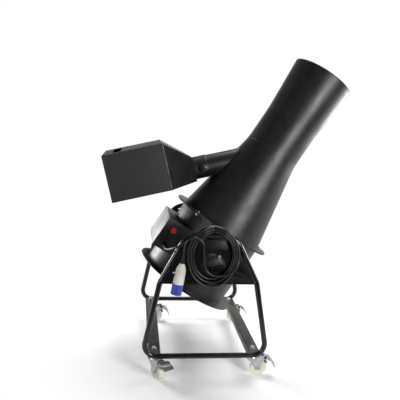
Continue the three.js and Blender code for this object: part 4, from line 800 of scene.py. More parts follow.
# %% Trunnions and their bolts
BRACKET_WIDTH, BRACKET_THICKNESS, BRACKET_LOW, BRACKET_HIGH = 110, 4, -205, -60
WEB_OUTER = STAND_HALF - PLATE_THICKNESS / 2 - RUNNING_GAP
WEB_INNER = WEB_OUTER - BRACKET_THICKNESS
CHANNEL_FOLDS = (0, 7, 7, 0, 0, 3, 3, 0)
LOCK_RADIUS = 69.6
STAND_BOLTS = (
    ("pivot", 8, 15, -PIVOT_BELOW_FLANGE, black_oxide),
    ("lock", 6, 12, LOCK_RADIUS - PIVOT_BELOW_FLANGE, zinc),
)


def stand_bolt(shank, washer):
    outer, inner, across = STAND_HALF + PLATE_THICKNESS / 2 + CLEAR, WEB_INNER - CLEAR, washer - 3
    head = hexagon(across, outer + 1.9, outer + 2 + shank)
    face = round_bar(across * 0.8, outer + 1.8 + shank, outer + 2.4 + shank)
    nut = hexagon(across, inner - shank, inner - 1.5)
    washers = joined(round_bar(washer, outer, outer + 2), round_bar(washer, inner - 1.6, inner))
    return joined(head, face, nut, threaded(shank, inner - shank - 6, outer)), washers


left, right = (way * BRACKET_WIDTH / 2 - BOLT_LINE_OFFSET for way in (-1, 1))
inner_left, inner_right = left + BRACKET_THICKNESS, right - BRACKET_THICKNESS
channel = [(left, on_casing(left)), (left, WEB_OUTER), (right, WEB_OUTER), (right, on_casing(right))]
channel += [(inner_right, on_casing(inner_right)), (inner_right, WEB_INNER)]
channel += [(inner_left, WEB_INNER), (inner_left, on_casing(inner_left))]
for label, side in SIDES:
    bracket = sheet([rounded([(x, side * y) for x, y in channel], CHANNEL_FOLDS)], BRACKET_LOW, BRACKET_HIGH)
    piece(f"{label}_trunnion", bracket, BARREL, satin_powder, "barrel", f"{label}_trunnion_bracket")
    feet = [(x, side * (on_casing(x) + BEAD_LIFT)) for x in (left - BEAD_LIFT, right + BEAD_LIFT)]
    welds = [bead(line_between((*foot, BRACKET_LOW), (*foot, BRACKET_HIGH)), 2.0) for foot in feet]
    piece(f"{label}_trunnion_welds", joined(*welds), BARREL, satin_powder, "barrel")
    for kind, shank, washer, level, finish in STAND_BOLTS:
        place = BARREL @ shifted(-BOLT_LINE_OFFSET, 0, level) @ (FACING_NEAR if side < 0 else FACING_FAR)
        name = f"{label}_{kind}_bolt"
        bolt, washers = stand_bolt(shank, washer)
        piece(f"{name}_shank", bolt, place, finish, "barrel", name)
        piece(f"{name}_washers", washers, place, black_oxide, "barrel")

# %% [markdown]
# The control box is folded from thin sheet and scribed to the casing. Its pale cover is a shallow tray held
# by four cross-head screws. The box is an outline with the casing's own arc for its back, so the two fit
# without a gap.

# %% Control box and cover
CONTROL_OUT, CONTROL_NEAR, CONTROL_FAR, CONTROL_LOW, CONTROL_HIGH = 277.5, 178, 126, -245.5, -90
CONTROL_WALL, TRAY_DEPTH = 1.5, 3.2
SCREW_FROM_SIDE, SCREW_FROM_END = 14, 12


def pan_screw():
    slot = block((-2.4, -0.45, 1.9), (2.4, 0.45, 2.36), 0)
    head = turned([(0, 0), (4, 0), (3.8, 1.0), (2.4, 2.0), (0, 2.3)], 32, 0.4)
    return joined(head, slot, moved(slot, spun(90, "Z")))


scribed = [math.degrees(math.atan2(y, -on_casing(y))) % 360 for y in (-CONTROL_NEAR, CONTROL_FAR)]
shell_out = CONTROL_OUT - CONTROL_WALL - SEAT_GAP
box_outline = arc(CASING_RADIUS + CLEAR, *scribed, 40)
box_outline += [(-shell_out, CONTROL_FAR), (-shell_out, -CONTROL_NEAR)]
control_shell = sheet([box_outline], CONTROL_LOW, CONTROL_HIGH, 0.8)
piece("control_box_shell", control_shell, BARREL, satin_powder, "barrel", "control_box")
tray_to = (TRAY_DEPTH - CONTROL_OUT, CONTROL_FAR, CONTROL_HIGH)
tray = block((-CONTROL_OUT, -CONTROL_NEAR, CONTROL_LOW), tray_to, 1.2, 3)
piece("control_cover_tray", tray, BARREL, pale_enamel, "barrel", "control_box_cover")
cover_screws = [
    moved(pan_screw(), shifted(-CONTROL_OUT, y, s) @ spun(-90, "Y"))
    for y in (SCREW_FROM_SIDE - CONTROL_NEAR, CONTROL_FAR - SCREW_FROM_SIDE)
    for s in (CONTROL_LOW + SCREW_FROM_END, CONTROL_HIGH - SCREW_FROM_END)
]
piece("control_cover_screws", joined(*cover_screws), BARREL, zinc, "barrel")

# %% [markdown]
# On its near side the box has a red start button in a paler collar, and below that the gland that grips the
# mains lead. All three are turned pieces. The gland is a dome nut with small grip ribs round it, over a
# hexagon for the spanner.

# %% Start button, its collar and the gland
BUTTON_PLACE = BARREL @ shifted(-225, -CONTROL_NEAR, -135) @ FACING_NEAR
GLAND_PLACE = BARREL @ shifted(-226.5, -CONTROL_NEAR, -218.3) @ FACING_NEAR
button = [(0, -11), (6, -11), (6, 4.6), (11, 4.6), (11, 12.4), (9.6, 13.6), (8, 13.2), (4, 12.2), (0, 11.9)]
piece("start_button_cap", turned(button, 64, 0.7), BUTTON_PLACE, red_abs, "button", "start_button")
collar = [(11.6, 0.1), (16, 0.1), (16, 4.6), (14.6, 6.8), (12.2, 7), (11.6, 6)]
piece("start_button_collar", turned(collar, 64), BUTTON_PLACE, dull_red_abs, "barrel", "button_collar")
dome = [(0, 8), (12.2, 8), (12.2, 10.5), (11.4, 11), (12.4, 11.5), (12.4, 16), (10.4, 20), (8.6, 23.4)]
grip_ribs = ringed(block((11.2, -0.9, 11.8), (12.9, 0.9, 17), 0.5, 1), 14)
dome_nut = turned([*dome, (0, 24)], 56, 0.5)
gland = joined(hexagon(13, CLEAR, 8.6, 0.8), dome_nut, round_bar(8, -9, 1), grip_ribs)
piece("cable_gland_body", gland, GLAND_PLACE, black_polyamide, "barrel", "cable_gland")

# %% [markdown]
# The branch pipe is trimmed to the cone's slope and welded round the saddle. The saddle has no simple
# formula, so each point of the weld is found by halving: is the middle of what is left inside the cone or
# outside? A turned solid of the cone trims the pipe.

# %% Branch pipe and its weld
SADDLE_STEPS, HALVINGS, SADDLE_LIFT, SADDLE_BEAD = 160, 30, 0.9, 2.3
TO_BARREL = BARREL.inverted() @ FEED


def cone_meets_pipe(degrees):
    inside, outside = PIPE_ROOT, PIPE_END
    for _ in range(HALVINGS):
        middle = (inside + outside) / 2
        p = TO_BARREL @ Vector((*polar(PIPE_RADIUS, degrees), middle))
        inside, outside = (inside, middle) if math.hypot(p.x, p.y) > cone_radius(p.z) else (middle, outside)
    return inside


pipe_wall = [(PIPE_RADIUS - SHEET, PIPE_ROOT), (PIPE_RADIUS, PIPE_ROOT), (PIPE_RADIUS, PIPE_END)]
pipe_wall += [(PIPE_RADIUS - SHEET, PIPE_END)]
pipe = piece("branch_pipe", turned(pipe_wall, PIPE_SIDES), FEED, satin_powder, "barrel", "feed_pipe")
cone_solid = [(0, -40), (CASING_RADIUS + 0.2, -40), (CASING_RADIUS + 0.2, 0)]
cone_solid += [(THROAT_RADIUS + 0.2, THROAT_START), (THROAT_RADIUS + 0.2, 800), (0, 800)]
cut(pipe, turned(cone_solid, BARREL_SIDES, 0), BARREL)
around = [360 * step / SADDLE_STEPS for step in range(SADDLE_STEPS)]
saddle = [(*polar(PIPE_RADIUS + SADDLE_LIFT, turn), cone_meets_pipe(turn) + SADDLE_LIFT) for turn in around]
piece("branch_weld", bead(saddle, SADDLE_BEAD, loop=True), FEED, satin_powder, "barrel")

# %% [markdown]
# The hopper's sleeve slides over the pipe's free end. A rolled bead near its edge keeps the thin sheet
# round, and a boss is welded on for the knob.

# %% Sleeve
SLEEVE_INNER = PIPE_RADIUS + RUNNING_GAP
SLEEVE_OUTER = SLEEVE_INNER + SHEET
SLEEVE_START, SLEEVE_END, KNOB_AT = 342, 411.2, 367.5
bulge, low = SLEEVE_OUTER + 1.4, SLEEVE_START
sleeve_wall = [(SLEEVE_INNER, low), (SLEEVE_OUTER, low), (SLEEVE_OUTER, low + 7), (bulge, low + 8.5)]
sleeve_wall += [(bulge, low + 10.5), (SLEEVE_OUTER, low + 12), (SLEEVE_OUTER, SLEEVE_END)]
sleeve_wall += [(SLEEVE_INNER, SLEEVE_END)]
boss_low, boss_high = SLEEVE_OUTER - 1.2, SLEEVE_OUTER + 4
boss = turned([(4.6, boss_low), (9, boss_low), (9, boss_high), (4.6, boss_high)], 40)
at_knob = shifted(0, 0, KNOB_AT) @ FACING_NEAR
sleeve = joined(turned(sleeve_wall, PIPE_SIDES), moved(boss, at_knob))
piece("hopper_sleeve_tube", sleeve, FEED, satin_powder, "hopper", "hopper_sleeve")

# %% [markdown]
# The sleeve is clamped by a lobed knob, whose stud presses on the pipe. The lobes come from a circle whose
# radius dips six times on the way round, and the sheet's broken edge makes them comfortable to grip.

# %% Lock knob
KNOB_LOW, KNOB_HEIGHT, KNOB_RADIUS = SLEEVE_OUTER + 4.6, 20, 18
LOBES, LOBE_DEPTH = 6, 2.5
KNOB_PLACE = FEED @ at_knob
lobes = []
for degrees in range(0, 360, 3):
    dip = LOBE_DEPTH * (1 - math.cos(math.radians(LOBES * degrees))) / 2
    lobes.append(polar(KNOB_RADIUS - dip, degrees))
grip = sheet([lobes], KNOB_LOW + 3, KNOB_LOW + KNOB_HEIGHT, 1.8)
neck = round_bar(10, KNOB_LOW, KNOB_LOW + 4, 40, 0.8)
cap = turned([(0, 0), (8, 0), (7.4, 0.9), (0, 1.3)], 40, 0.3)
knob = joined(grip, neck, moved(cap, shifted(0, 0, KNOB_LOW + KNOB_HEIGHT - 0.4)))
piece("hopper_lock_knob", knob, KNOB_PLACE, black_polyamide, "knob", "hopper_knob")
piece("hopper_knob_stud", threaded(4, PIPE_RADIUS + 0.5, KNOB_LOW + 5), KNOB_PLACE, zinc, "knob")

# %% [markdown]
# The hopper is a folded box, and a folded funnel brings it down to the sleeve. The funnel is made solid
# from its two end rectangles, and a smaller one is cut out of it, which gives every wall the same
# thickness. Folded edges are round, about as round as the sheet is thick.

# %% Hopper funnel
FUNNEL_START, FUNNEL_HALF = 411.5, 60
BOX_START, BOX_END, BOX_HALF_WIDTH, BOX_LOW, BOX_HIGH = 547.5, 838, 170, -60, 168
FUNNEL_END = BOX_START - SEAT_GAP


def funnel_corners(level, inset):
    share = (level - FUNNEL_START) / (FUNNEL_END - FUNNEL_START)
    half = FUNNEL_HALF + (BOX_HALF_WIDTH - FUNNEL_HALF) * share - inset
    low, high = BOX_LOW + inset, FUNNEL_HALF + (BOX_HIGH - FUNNEL_HALF) * share - inset
    return [(x, y, level) for x, y in ((low, -half), (high, -half), (high, half), (low, half))]


def funnel_between(inset, start, end, ease):
    shape = bmesh.new()
    rings = [[shape.verts.new(corner) for corner in funnel_corners(level, inset)] for level in (start, end)]
    shape.faces.new(reversed(rings[0]))
    shape.faces.new(rings[1])
    for i, j in ((0, 1), (1, 2), (2, 3), (3, 0)):
        shape.faces.new((rings[0][i], rings[0][j], rings[1][j], rings[1][i]))
    folds = [e for e in shape.edges if abs(e.verts[0].co.z - e.verts[1].co.z) > 1]
    return bevelled(shape, folds, ease, 4)


funnel_shape = funnel_between(0, FUNNEL_START, FUNNEL_END, 3)
funnel = piece("hopper_funnel_shell", funnel_shape, FEED, satin_powder, "hopper", "hopper_funnel", crease=30)
cut(funnel, funnel_between(SHEET, FUNNEL_START + SHEET, FUNNEL_END + 6, 1.5), FEED)
cut(funnel, round_bar(SLEEVE_INNER, FUNNEL_START - 5, FUNNEL_START + 9, 96, 0), FEED)

# %% [markdown]
# The box is hollowed in the same way. It is open towards the funnel and has a slot in its top for filling.

# %% Hopper box
SLOT_HALF_LENGTH, SLOT_START, SLOT_END = 118, 748, 788
box_shape = block((BOX_LOW, -BOX_HALF_WIDTH, BOX_START), (BOX_HIGH, BOX_HALF_WIDTH, BOX_END), 2.8, 4)
box = piece("hopper_box_shell", box_shape, FEED, matt_powder, "hopper", "hopper_box", crease=30)
hollow_from = (BOX_LOW + SHEET, SHEET - BOX_HALF_WIDTH, BOX_START - 8)
cut(box, block(hollow_from, (BOX_HIGH - SHEET, BOX_HALF_WIDTH - SHEET, BOX_END - SHEET), 0), FEED)
slot_from, slot_to = (BOX_HIGH - 8, -SLOT_HALF_LENGTH, SLOT_START), (BOX_HIGH + 8, SLOT_HALF_LENGTH, SLOT_END)
cut(box, block(slot_from, slot_to, 1.5, 3), FEED)

# %% [markdown]
# Where box and funnel meet, a lip is turned outward and spot welded. Its paler grey is a painted highlight
# for the bright line of light along the joint. The slot's edge is hemmed, so that it doesn't cut. Both are
# flat frames. The hem is drawn like the lip and then laid on the top face by swapping two axes.

# %% Lip and hem
LIP, HEM = 1.6, 2.4
LYING = Matrix(((0, 0, 1, 0), (0, 1, 0, 0), (1, 0, 0, 0), (0, 0, 0, 1)))
lip_outer = frame_outline(BOX_LOW - LIP, BOX_HIGH + LIP, BOX_HALF_WIDTH + LIP, 4)
lip_inner = frame_outline(BOX_LOW + 1, BOX_HIGH - 1, BOX_HALF_WIDTH - 1, 3)
hopper_lip = sheet([lip_outer, lip_inner], BOX_START - 2.2, BOX_START + 1.6, 0.8)
# Painted highlight: the lip's paler grey coat stands in for the bright line of light along the joint.
piece("hopper_joint_lip", hopper_lip, FEED, painted_highlight_powder, "hopper")
slot_outer = frame_outline(SLOT_START - HEM, SLOT_END + HEM, SLOT_HALF_LENGTH + HEM, 4)
slot_inner = frame_outline(SLOT_START, SLOT_END, SLOT_HALF_LENGTH, 2)
slot_hem = sheet([slot_outer, slot_inner], BOX_HIGH - SHEET - 0.4, BOX_HIGH + 0.9)
piece("hopper_slot_hem", moved(slot_hem, LYING), FEED, matt_powder, "hopper")

# %% [markdown]
# Inside the casing the motor sits on two flat arms. It is a turned body with end bells, a ring of cooling
# ribs and four screws. Little of it is ever seen, so its ribs are plain blocks.

# %% Motor and its arms
MOTOR_RADIUS, MOTOR_LOW, MOTOR_HIGH, MOTOR_RIBS, ARM_HALF = 95, -215, -22, 36, 55
MOTOR_MIDDLE = (MOTOR_LOW + MOTOR_HIGH) / 2
low, high = MOTOR_LOW, MOTOR_HIGH
motor_wall = [(0, low + 2), (24, low), (70, low), (86, low + 10), (88, low + 16)]
motor_wall += [(88, high - 16), (86, high - 10), (70, high), (0, high)]
ribs = ringed(block((86, -1.2, low + 16), (MOTOR_RADIUS, 1.2, high - 16), 0.6, 1), MOTOR_RIBS)
end_screws = ringed(moved(hexagon(5, low - 3.4, low + 1), shifted(58)), 4, first=45)
motor = joined(turned(motor_wall, 96, 2), ribs)
piece("fan_motor_body", motor, BARREL, motor_enamel, "barrel", "fan_motor")
piece("fan_motor_screws", end_screws, BARREL, zinc, "barrel")
for label, side in SIDES:
    y0, y1 = sorted((side * (MOTOR_RADIUS - 6), side * (casing_inside - 0.2)))
    arm = block((-2.5, y0, MOTOR_MIDDLE - ARM_HALF), (2.5, y1, MOTOR_MIDDLE + ARM_HALF), 0.8)
    piece(f"{label}_motor_arm_plate", arm, BARREL, satin_powder, "barrel", f"{label}_motor_arm")

# %% [markdown]
# The motor's shaft points down to a cast impeller with six blades. A blade stands steep at the hub and
# flatter at the tip, where it runs faster. It is a grid of points bent round the shaft, with a cambered
# face on either side that meet at a thin edge.

# %% Shaft and impeller
HUB_RADIUS, HUB_LOW, HUB_HIGH, TIP_RADIUS, BLADES = 62, -294, -238, 218, 6
HUB_MIDDLE = (HUB_LOW + HUB_HIGH) / 2
SPANS, CHORDS = 16, 12


def blade_point(share, across, side):
    radius = HUB_RADIUS - 4 + (TIP_RADIUS - HUB_RADIUS + 4) * share
    pitch, chord = math.radians(44 - 17 * share), 76 + 24 * math.sin(share * math.pi * 0.6)
    arch = 1 - 4 * across * across
    thick = (0.6 + 2.1 * math.sqrt(max(arch, 0))) * (1.1 - 0.4 * share)
    flat, lift = across * chord, 5.5 * arch + side * thick
    along = flat * math.cos(pitch) - lift * math.sin(pitch)
    level = HUB_MIDDLE + flat * math.sin(pitch) + lift * math.cos(pitch)
    return *polar(radius, math.degrees(along / radius)), min(max(level, HUB_LOW), HUB_HIGH)


def blade():
    row, layer = CHORDS + 1, (SPANS + 1) * (CHORDS + 1)
    grid = [(i / SPANS, j / CHORDS - 0.5) for i in range(SPANS + 1) for j in range(CHORDS + 1)]
    verts = [blade_point(share, across, side) for side in (1, -1) for share, across in grid]
    faces = []
    for a in (i * row + j for i in range(SPANS) for j in range(CHORDS)):
        faces.append((a, a + 1, a + 1 + row, a + row))
        faces.append((layer + a, layer + a + row, layer + a + 1 + row, layer + a + 1))
    border = [i * row for i in range(SPANS)] + [SPANS * row + j for j in range(CHORDS)]
    border += [i * row + CHORDS for i in range(SPANS, 0, -1)] + list(range(CHORDS, 0, -1))
    faces += [(a, b, b + layer, a + layer) for a, b in zip(border, border[1:] + border[:1])]
    return verts, faces


low, high = HUB_LOW, HUB_HIGH
hub = [(14.3, low), (50, low), (HUB_RADIUS, low + 10), (HUB_RADIUS, high), (57, high)]
hub += [(57, low + 6), (22, low + 6), (22, high), (14.3, high)]
rotor = joined(turned(hub, 96, 1.5), ringed(blade(), BLADES))
piece("impeller_casting", rotor, BARREL, cast_aluminium, "fan", "impeller", crease=50)
shaft_low, shaft_high = MOTOR_LOW - 84, MOTOR_LOW + 22
shaft_profile = [(0, shaft_low), (12, shaft_low), (14, shaft_low + 2), (14, shaft_high), (0, shaft_high)]
piece("motor_shaft_bar", turned(shaft_profile, 48), BARREL, zinc, "fan", "motor_shaft")

# %% [markdown]
# A guard of welded wire keeps hands out of the inlet: ten rings on four straight bars. The bars lie in one
# plane with the rings, as resistance welding presses them together.

# %% Inlet guard
GUARD_LEVEL, RING_SPACING, RINGS = -CASING_LENGTH - 2.6, 23.6, 10
WIRE_RADIUS, BAR_RADIUS, BAR_REACHES = 1.9, 2.5, (248, 238)
wires = []
for i in range(1, RINGS + 1):
    ring = [(*p, GUARD_LEVEL) for p in circle(RING_SPACING * i, 120)]
    wires.append(rod(ring, WIRE_RADIUS, 10, loop=True))
for i in range(4):
    reach = BAR_REACHES[i % 2]
    bar = rod([(x, 0, GUARD_LEVEL) for x in (-reach, 2 - reach, reach - 2, reach)], BAR_RADIUS, 12)
    wires.append(moved(bar, spun(45 * i, "Z")))
piece("inlet_guard_wires", joined(*wires), BARREL, zinc, "barrel", "inlet_guard")

# %% [markdown]
# Each side frame is one tube bent into a closed loop: broad at the foot, kinked at the knee and narrow at
# the head. The bends are true arcs, and a small weld closes the loop in the middle of its foot.

# %% Side frames
LOOP = ((293.5, 120.5, 56), (223, 476, 120), (110, 700, 100))
FOOT_HEIGHT = LOOP[0][1]
loop_corners = [*LOOP, *((-x, z, radius) for x, z, radius in reversed(LOOP))]
loop_points = rounded([(x, z) for x, z, _ in loop_corners], [radius for _, _, radius in loop_corners], 24)
for label, side in SIDES:
    tube = rod([(x, side * STAND_HALF, z) for x, z in loop_points], TUBE_RADIUS, 32, loop=True)
    across_tube = shifted(0, side * STAND_HALF, FOOT_HEIGHT) @ spun(90, "Y")
    joint = moved(bead_ring(TUBE_RADIUS + CLEAR, 0, 0.9, 60), across_tube)
    piece(f"{label}_frame_tube", joined(tube, joint), STAND, gloss_enamel, "stand", f"{label}_side_frame")

# %% [markdown]
# The pivot plate fills the top of the loop and is welded to it on both faces. Its outline is the tube's own
# line, moved inward and kept between two levels. It has a hole for the pivot bolt and a curved slot, in
# which the lock bolt travels when the barrel tilts.

# %% Pivot plates
PLATE_BOTTOM, PLATE_TOP = 470, 675
SLOT_HALF, SLOT_FROM, SLOT_TO, PIVOT_HOLE = 6.6, 27.43, 89.43, 8.6
PIVOT_SPOT = (PIVOT.x, PIVOT.z)


def inner_edge(depth):
    right_side = sorted((Vector(p) for p in loop_points if p[0] > 0), key=lambda p: p.y)
    edge = []
    for before, here, after in zip(right_side[:1] + right_side, right_side, right_side[1:] + right_side[-1:]):
        along = (after - before).normalized()
        edge.append(here + Vector((-along.y, along.x)) * depth)
    return edge


def between_levels(edge, low, high):
    kept = []
    for a, b in zip(edge, edge[1:]):
        crossed = [level for level in (low, high) if (a.y - level) * (b.y - level) < 0]
        kept += [a.lerp(b, (level - a.y) / (b.y - a.y)) for level in crossed]
        if low < b.y < high:
            kept.append(b)
    return sorted(kept, key=lambda p: p.y)


def slot_end(middle, first, last):
    return arc(SLOT_HALF, first, last, 10, polar(LOCK_RADIUS, middle, PIVOT_SPOT))[1:]


side_edge = between_levels(inner_edge(TUBE_RADIUS - 2.5), PLATE_BOTTOM, PLATE_TOP)
plate_outline = [tuple(p) for p in side_edge] + [(-p.x, p.y) for p in reversed(side_edge)]
lock_slot = arc(LOCK_RADIUS + SLOT_HALF, SLOT_FROM, SLOT_TO, 30, PIVOT_SPOT)
lock_slot += slot_end(SLOT_TO, SLOT_TO, SLOT_TO + 180)
lock_slot += arc(LOCK_RADIUS - SLOT_HALF, SLOT_TO, SLOT_FROM, 30, PIVOT_SPOT)[1:]
lock_slot += slot_end(SLOT_FROM, SLOT_FROM + 180, SLOT_FROM + 360)[:-1]
plate_faces = -PLATE_THICKNESS / 2, PLATE_THICKNESS / 2
plate = sheet([plate_outline, lock_slot, circle(PIVOT_HOLE, 40, PIVOT_SPOT)], *plate_faces)
weld_edge = between_levels(inner_edge(TUBE_RADIUS - 0.5), PLATE_BOTTOM, PLATE_TOP)
weld_line = [p for a, b in zip(weld_edge, weld_edge[1:]) for p in line_between(a.to_3d(), b.to_3d())[:-1]]
for label, side in SIDES:
    place = STAND @ shifted(0, side * STAND_HALF) @ FACING_NEAR
    piece(f"{label}_plate", plate, place, gloss_enamel, "stand", f"{label}_pivot_plate")
    beads = [
        bead([(way * p.x, side * STAND_HALF + level, p.y) for p in weld_line], 1.9)
        for level in (plate_faces[0] - 0.6, plate_faces[1] + 0.6)
        for way in (-1, 1)
    ]
    piece(f"{label}_plate_welds", joined(*beads), STAND, gloss_enamel, "stand")

# %% [markdown]
# Two flat bars of rectangular tube join the frames and carry the castors. Their ends run into the round tubes
# of the feet and are welded there. Their corners have the radius that the mill leaves on such tube.

# %% Cross bars
BAR_HALF_WIDTH, BAR_TOP, BAR_REACH, BAR_WELD = 29, CASTOR_HEIGHT + 2 * TUBE_RADIUS, STAND_HALF - 6, 356.2
bar_middle, bar_half_height = (CASTOR_HEIGHT + BAR_TOP) / 2, (BAR_TOP - CASTOR_HEIGHT) / 2
section = frame_outline(-BAR_HALF_WIDTH, BAR_HALF_WIDTH, bar_half_height, 3.5)
bar = moved(sheet([section], -BAR_REACH, BAR_REACH, 0.1), shifted(0, 0, bar_middle) @ FACING_NEAR)
bar_ends = []
for _, side in SIDES:
    ends = [(x, side * BAR_WELD, BAR_TOP - 1) for x in (-BAR_HALF_WIDTH, BAR_HALF_WIDTH)]
    bar_ends.append(bead(line_between(*ends)))
welded_bar = joined(bar, *bar_ends)
for label, x in (("left", -BAR_HALF_SPACING), ("right", BAR_HALF_SPACING)):
    piece(f"{label}_bar", welded_bar, STAND @ shifted(x), grey_enamel, "stand", f"{label}_cross_bar")

# %% [markdown]
# A castor has a fixed stem with a ball race, a pressed fork that swivels under it, a nylon wheel on a bolt,
# and a brake pedal hinged on the fork's ears. One is drawn with its wheel trailing to the right. The stem
# passes up through the bar and is held by a domed nut.

# %% Castor: stem and nut
WHEEL_RADIUS, WHEEL_TRAIL = 40, 33
RACE_TOP, RACE_BOTTOM = 107.9, 101.5
race = [(0, RACE_BOTTOM), (22, RACE_BOTTOM), (24, RACE_BOTTOM + 1.5), (24, 104.2), (21.8, 104.8)]
race += [(21.8, 105.4), (24, 106), (24, RACE_TOP), (0, RACE_TOP)]
rivet = [(0, 84.6), (9, 84.6), (10, 86), (10, 88.6), (0, 88.6)]
stem = joined(turned(race, 64, 0.5), turned(rivet, 40, 0.8), threaded(6, 88, BAR_TOP + 9))
nut_dome = [(9.5 * across, BAR_TOP + 7.2 + 8 * up) for across, up in arc(1, 0, 82.5, 11)]
nut = joined(
    round_bar(12.6, BAR_TOP + 0.05, BAR_TOP + 1.3, 40),
    hexagon(11, BAR_TOP + 1.2, BAR_TOP + 7.4, 0.8),
    turned([(0, BAR_TOP + 7), *nut_dome, (0, BAR_TOP + 15.2)], 48, 0),
)
print("stem and nut have", len(stem[1]) + len(nut[1]), "faces")

# %% [markdown]
# The fork is pressed from one sheet: a round crown and two cheeks. A cheek reaches down to the axle and
# forward to an ear that holds the pedal's pin. Its lower edge is a soft curve, drawn from the axle's boss
# to the ear with one handle.

# %% Castor: fork
CROWN_TOP, CROWN_BOTTOM, CROWN_RADIUS = 101.1, 89.1, 27
FORK_INNER, FORK_SIDE, BOSS_RADIUS = 13.5, 3, 13
PIN_OUT, PIN_HEIGHT, EAR_RADIUS, PIN_HOLE = 64, 92.1, 9, 4.6
AXLE = shifted(WHEEL_TRAIL, 0, WHEEL_RADIUS)


def fork_side():
    low, front = PIN_HEIGHT - EAR_RADIUS, WHEEL_TRAIL + BOSS_RADIUS
    start, handle, end = Vector((front, WHEEL_RADIUS)), Vector((front, low - 11)), Vector((PIN_OUT, low))
    outline = [(-CROWN_RADIUS, CROWN_TOP - 5), (-24, CROWN_BOTTOM - 4), (20.2, WHEEL_RADIUS + 3)]
    outline += arc(BOSS_RADIUS, 180, 360, 16, (WHEEL_TRAIL, WHEEL_RADIUS))
    for t in (i / 12 for i in range(1, 12)):
        outline.append(tuple((1 - t) ** 2 * start + 2 * (1 - t) * t * handle + t * t * end))
    outline += arc(EAR_RADIUS, -90, 90, 18, (PIN_OUT, PIN_HEIGHT))
    return [*outline, (CROWN_RADIUS, CROWN_TOP - 5)]


pin_hole = circle(PIN_HOLE, 24, (PIN_OUT, PIN_HEIGHT))
cheek = sheet([fork_side(), pin_hole], FORK_INNER, FORK_INNER + FORK_SIDE, 0.6)
crown = [(7, CROWN_BOTTOM), (CROWN_RADIUS, CROWN_BOTTOM), (CROWN_RADIUS, CROWN_BOTTOM + 5)]
crown += [(24.5, CROWN_TOP - 1.5), (21, CROWN_TOP), (7, CROWN_TOP)]
axle_nut, axle_tip = hexagon(6.4, 17.2, 20.4, 0.4), round_bar(3.6, 20.2, 21.6, 24, 0.5)
axle_end = joined(round_bar(8, 16.4, 17.4, 32, 0.2), axle_nut, axle_tip)
fork = joined(
    turned(crown, 72, 1.2),
    block((-CROWN_RADIUS, -16.5, CROWN_BOTTOM + 2), (CROWN_RADIUS, 16.5, CROWN_TOP - 2), 2.4, 4),
    moved(cheek, FACING_NEAR),
    moved(cheek, shifted(0, 2 * FORK_INNER + FORK_SIDE) @ FACING_NEAR),
    moved(round_bar(5, -17, 17), AXLE @ FACING_NEAR),
    moved(axle_end, AXLE @ FACING_FAR),
    moved(axle_end, AXLE @ FACING_NEAR),
)
print("a fork has", len(fork[1]), "faces")

# %% [markdown]
# The wheel is one nylon moulding with a raised tread, a thin web and eight ribs. The brake pedal is sheet
# bent down over the wheel. Its line is a smooth curve between four places, and at each place a section is
# set across it: flat in the middle, with rims turned down at the sides.

# %% Castor: wheel and brake pedal
PEDAL_BEND = [Vector(p) for p in ((0, 0), (24, 0), (46, -14), (47, -50))]
PEDAL_ROOT, PEDAL_START, PEDAL_END, PEDAL_SHEET, PEDAL_STEPS = 12.7, 22.5, 28, 1.5, 32


def pedal_sheet():
    a, b, c, d = PEDAL_BEND
    verts = []
    for t in (i / PEDAL_STEPS for i in range(PEDAL_STEPS + 1)):
        p = (1 - t) ** 3 * a + 3 * (1 - t) ** 2 * t * b + 3 * (1 - t) * t * t * c + t**3 * d
        along = ((b - a) * (1 - t) ** 2 + 2 * (c - b) * (1 - t) * t + (d - c) * t * t).normalized()
        up = Vector((-along.y, along.x))
        opening = min(max((p.length - 11) / 5, 0), 1)
        opening *= opening * (3 - 2 * opening)
        half = PEDAL_ROOT + (PEDAL_START - PEDAL_ROOT + (PEDAL_END - PEDAL_START) * t) * opening
        half -= 3.5 * max((t - 0.94) / 0.06, 0) ** 2
        low = -9 * opening * (1 - t) ** 0.7 - PEDAL_SHEET
        top = [(half, low), (half, PEDAL_SHEET * 0.2), (half - 1.4, PEDAL_SHEET)]
        under = [(half - 2.4, low), (half - 2.6, -PEDAL_SHEET)]
        section = [(-y, rise) for y, rise in top] + [(0, PEDAL_SHEET), *reversed(top), *under]
        section += [(0, -PEDAL_SHEET), *((-y, rise) for y, rise in reversed(under))]
        verts += [(p.x + up.x * rise, y, p.y + up.y * rise) for y, rise in section]
    return walled(verts, len(section))


tread = [(6, -13), (11, -13), (12.5, -11.4), (13.5, -9.6), (24, -8.4), (30, -9.4), (34.5, -12), (37.5, -11.4)]
tread += [(39.4, -9), (40, -4)]
wheel_profile = tread + [(radius, -y) for radius, y in reversed(tread)]
wheel_ribs = ringed(block((12, -1.1, -10.6), (33, 1.1, 10.6), 0.5, 1), 8)
wheel = moved(joined(turned(wheel_profile, 96, 0.8), wheel_ribs), AXLE @ FACING_NEAR)
pedal = joined(pedal_sheet(), moved(round_bar(6.5, -12.7, 12.7, 40, 0.5), FACING_NEAR))
pin_end = round_bar(6.4, 16.9, 19.2, 32, 0.8)
pin_ends = [moved(pin_end, FACING_NEAR), moved(pin_end, FACING_FAR)]
pedal_pin = joined(moved(round_bar(4, -18.4, 18.4, 32, 0.5), FACING_NEAR), *pin_ends)
print("wheel, pedal and pin have", len(wheel[1]) + len(pedal[1]) + len(pedal_pin[1]), "faces")

# %% [markdown]
# Under the pedal an arm carries a rubber shoe, which the braked pedal presses on the tread. Arm and shoe
# are two outlines, set square to the line from the axle to the shoe, so that the shoe faces the tread all
# along.

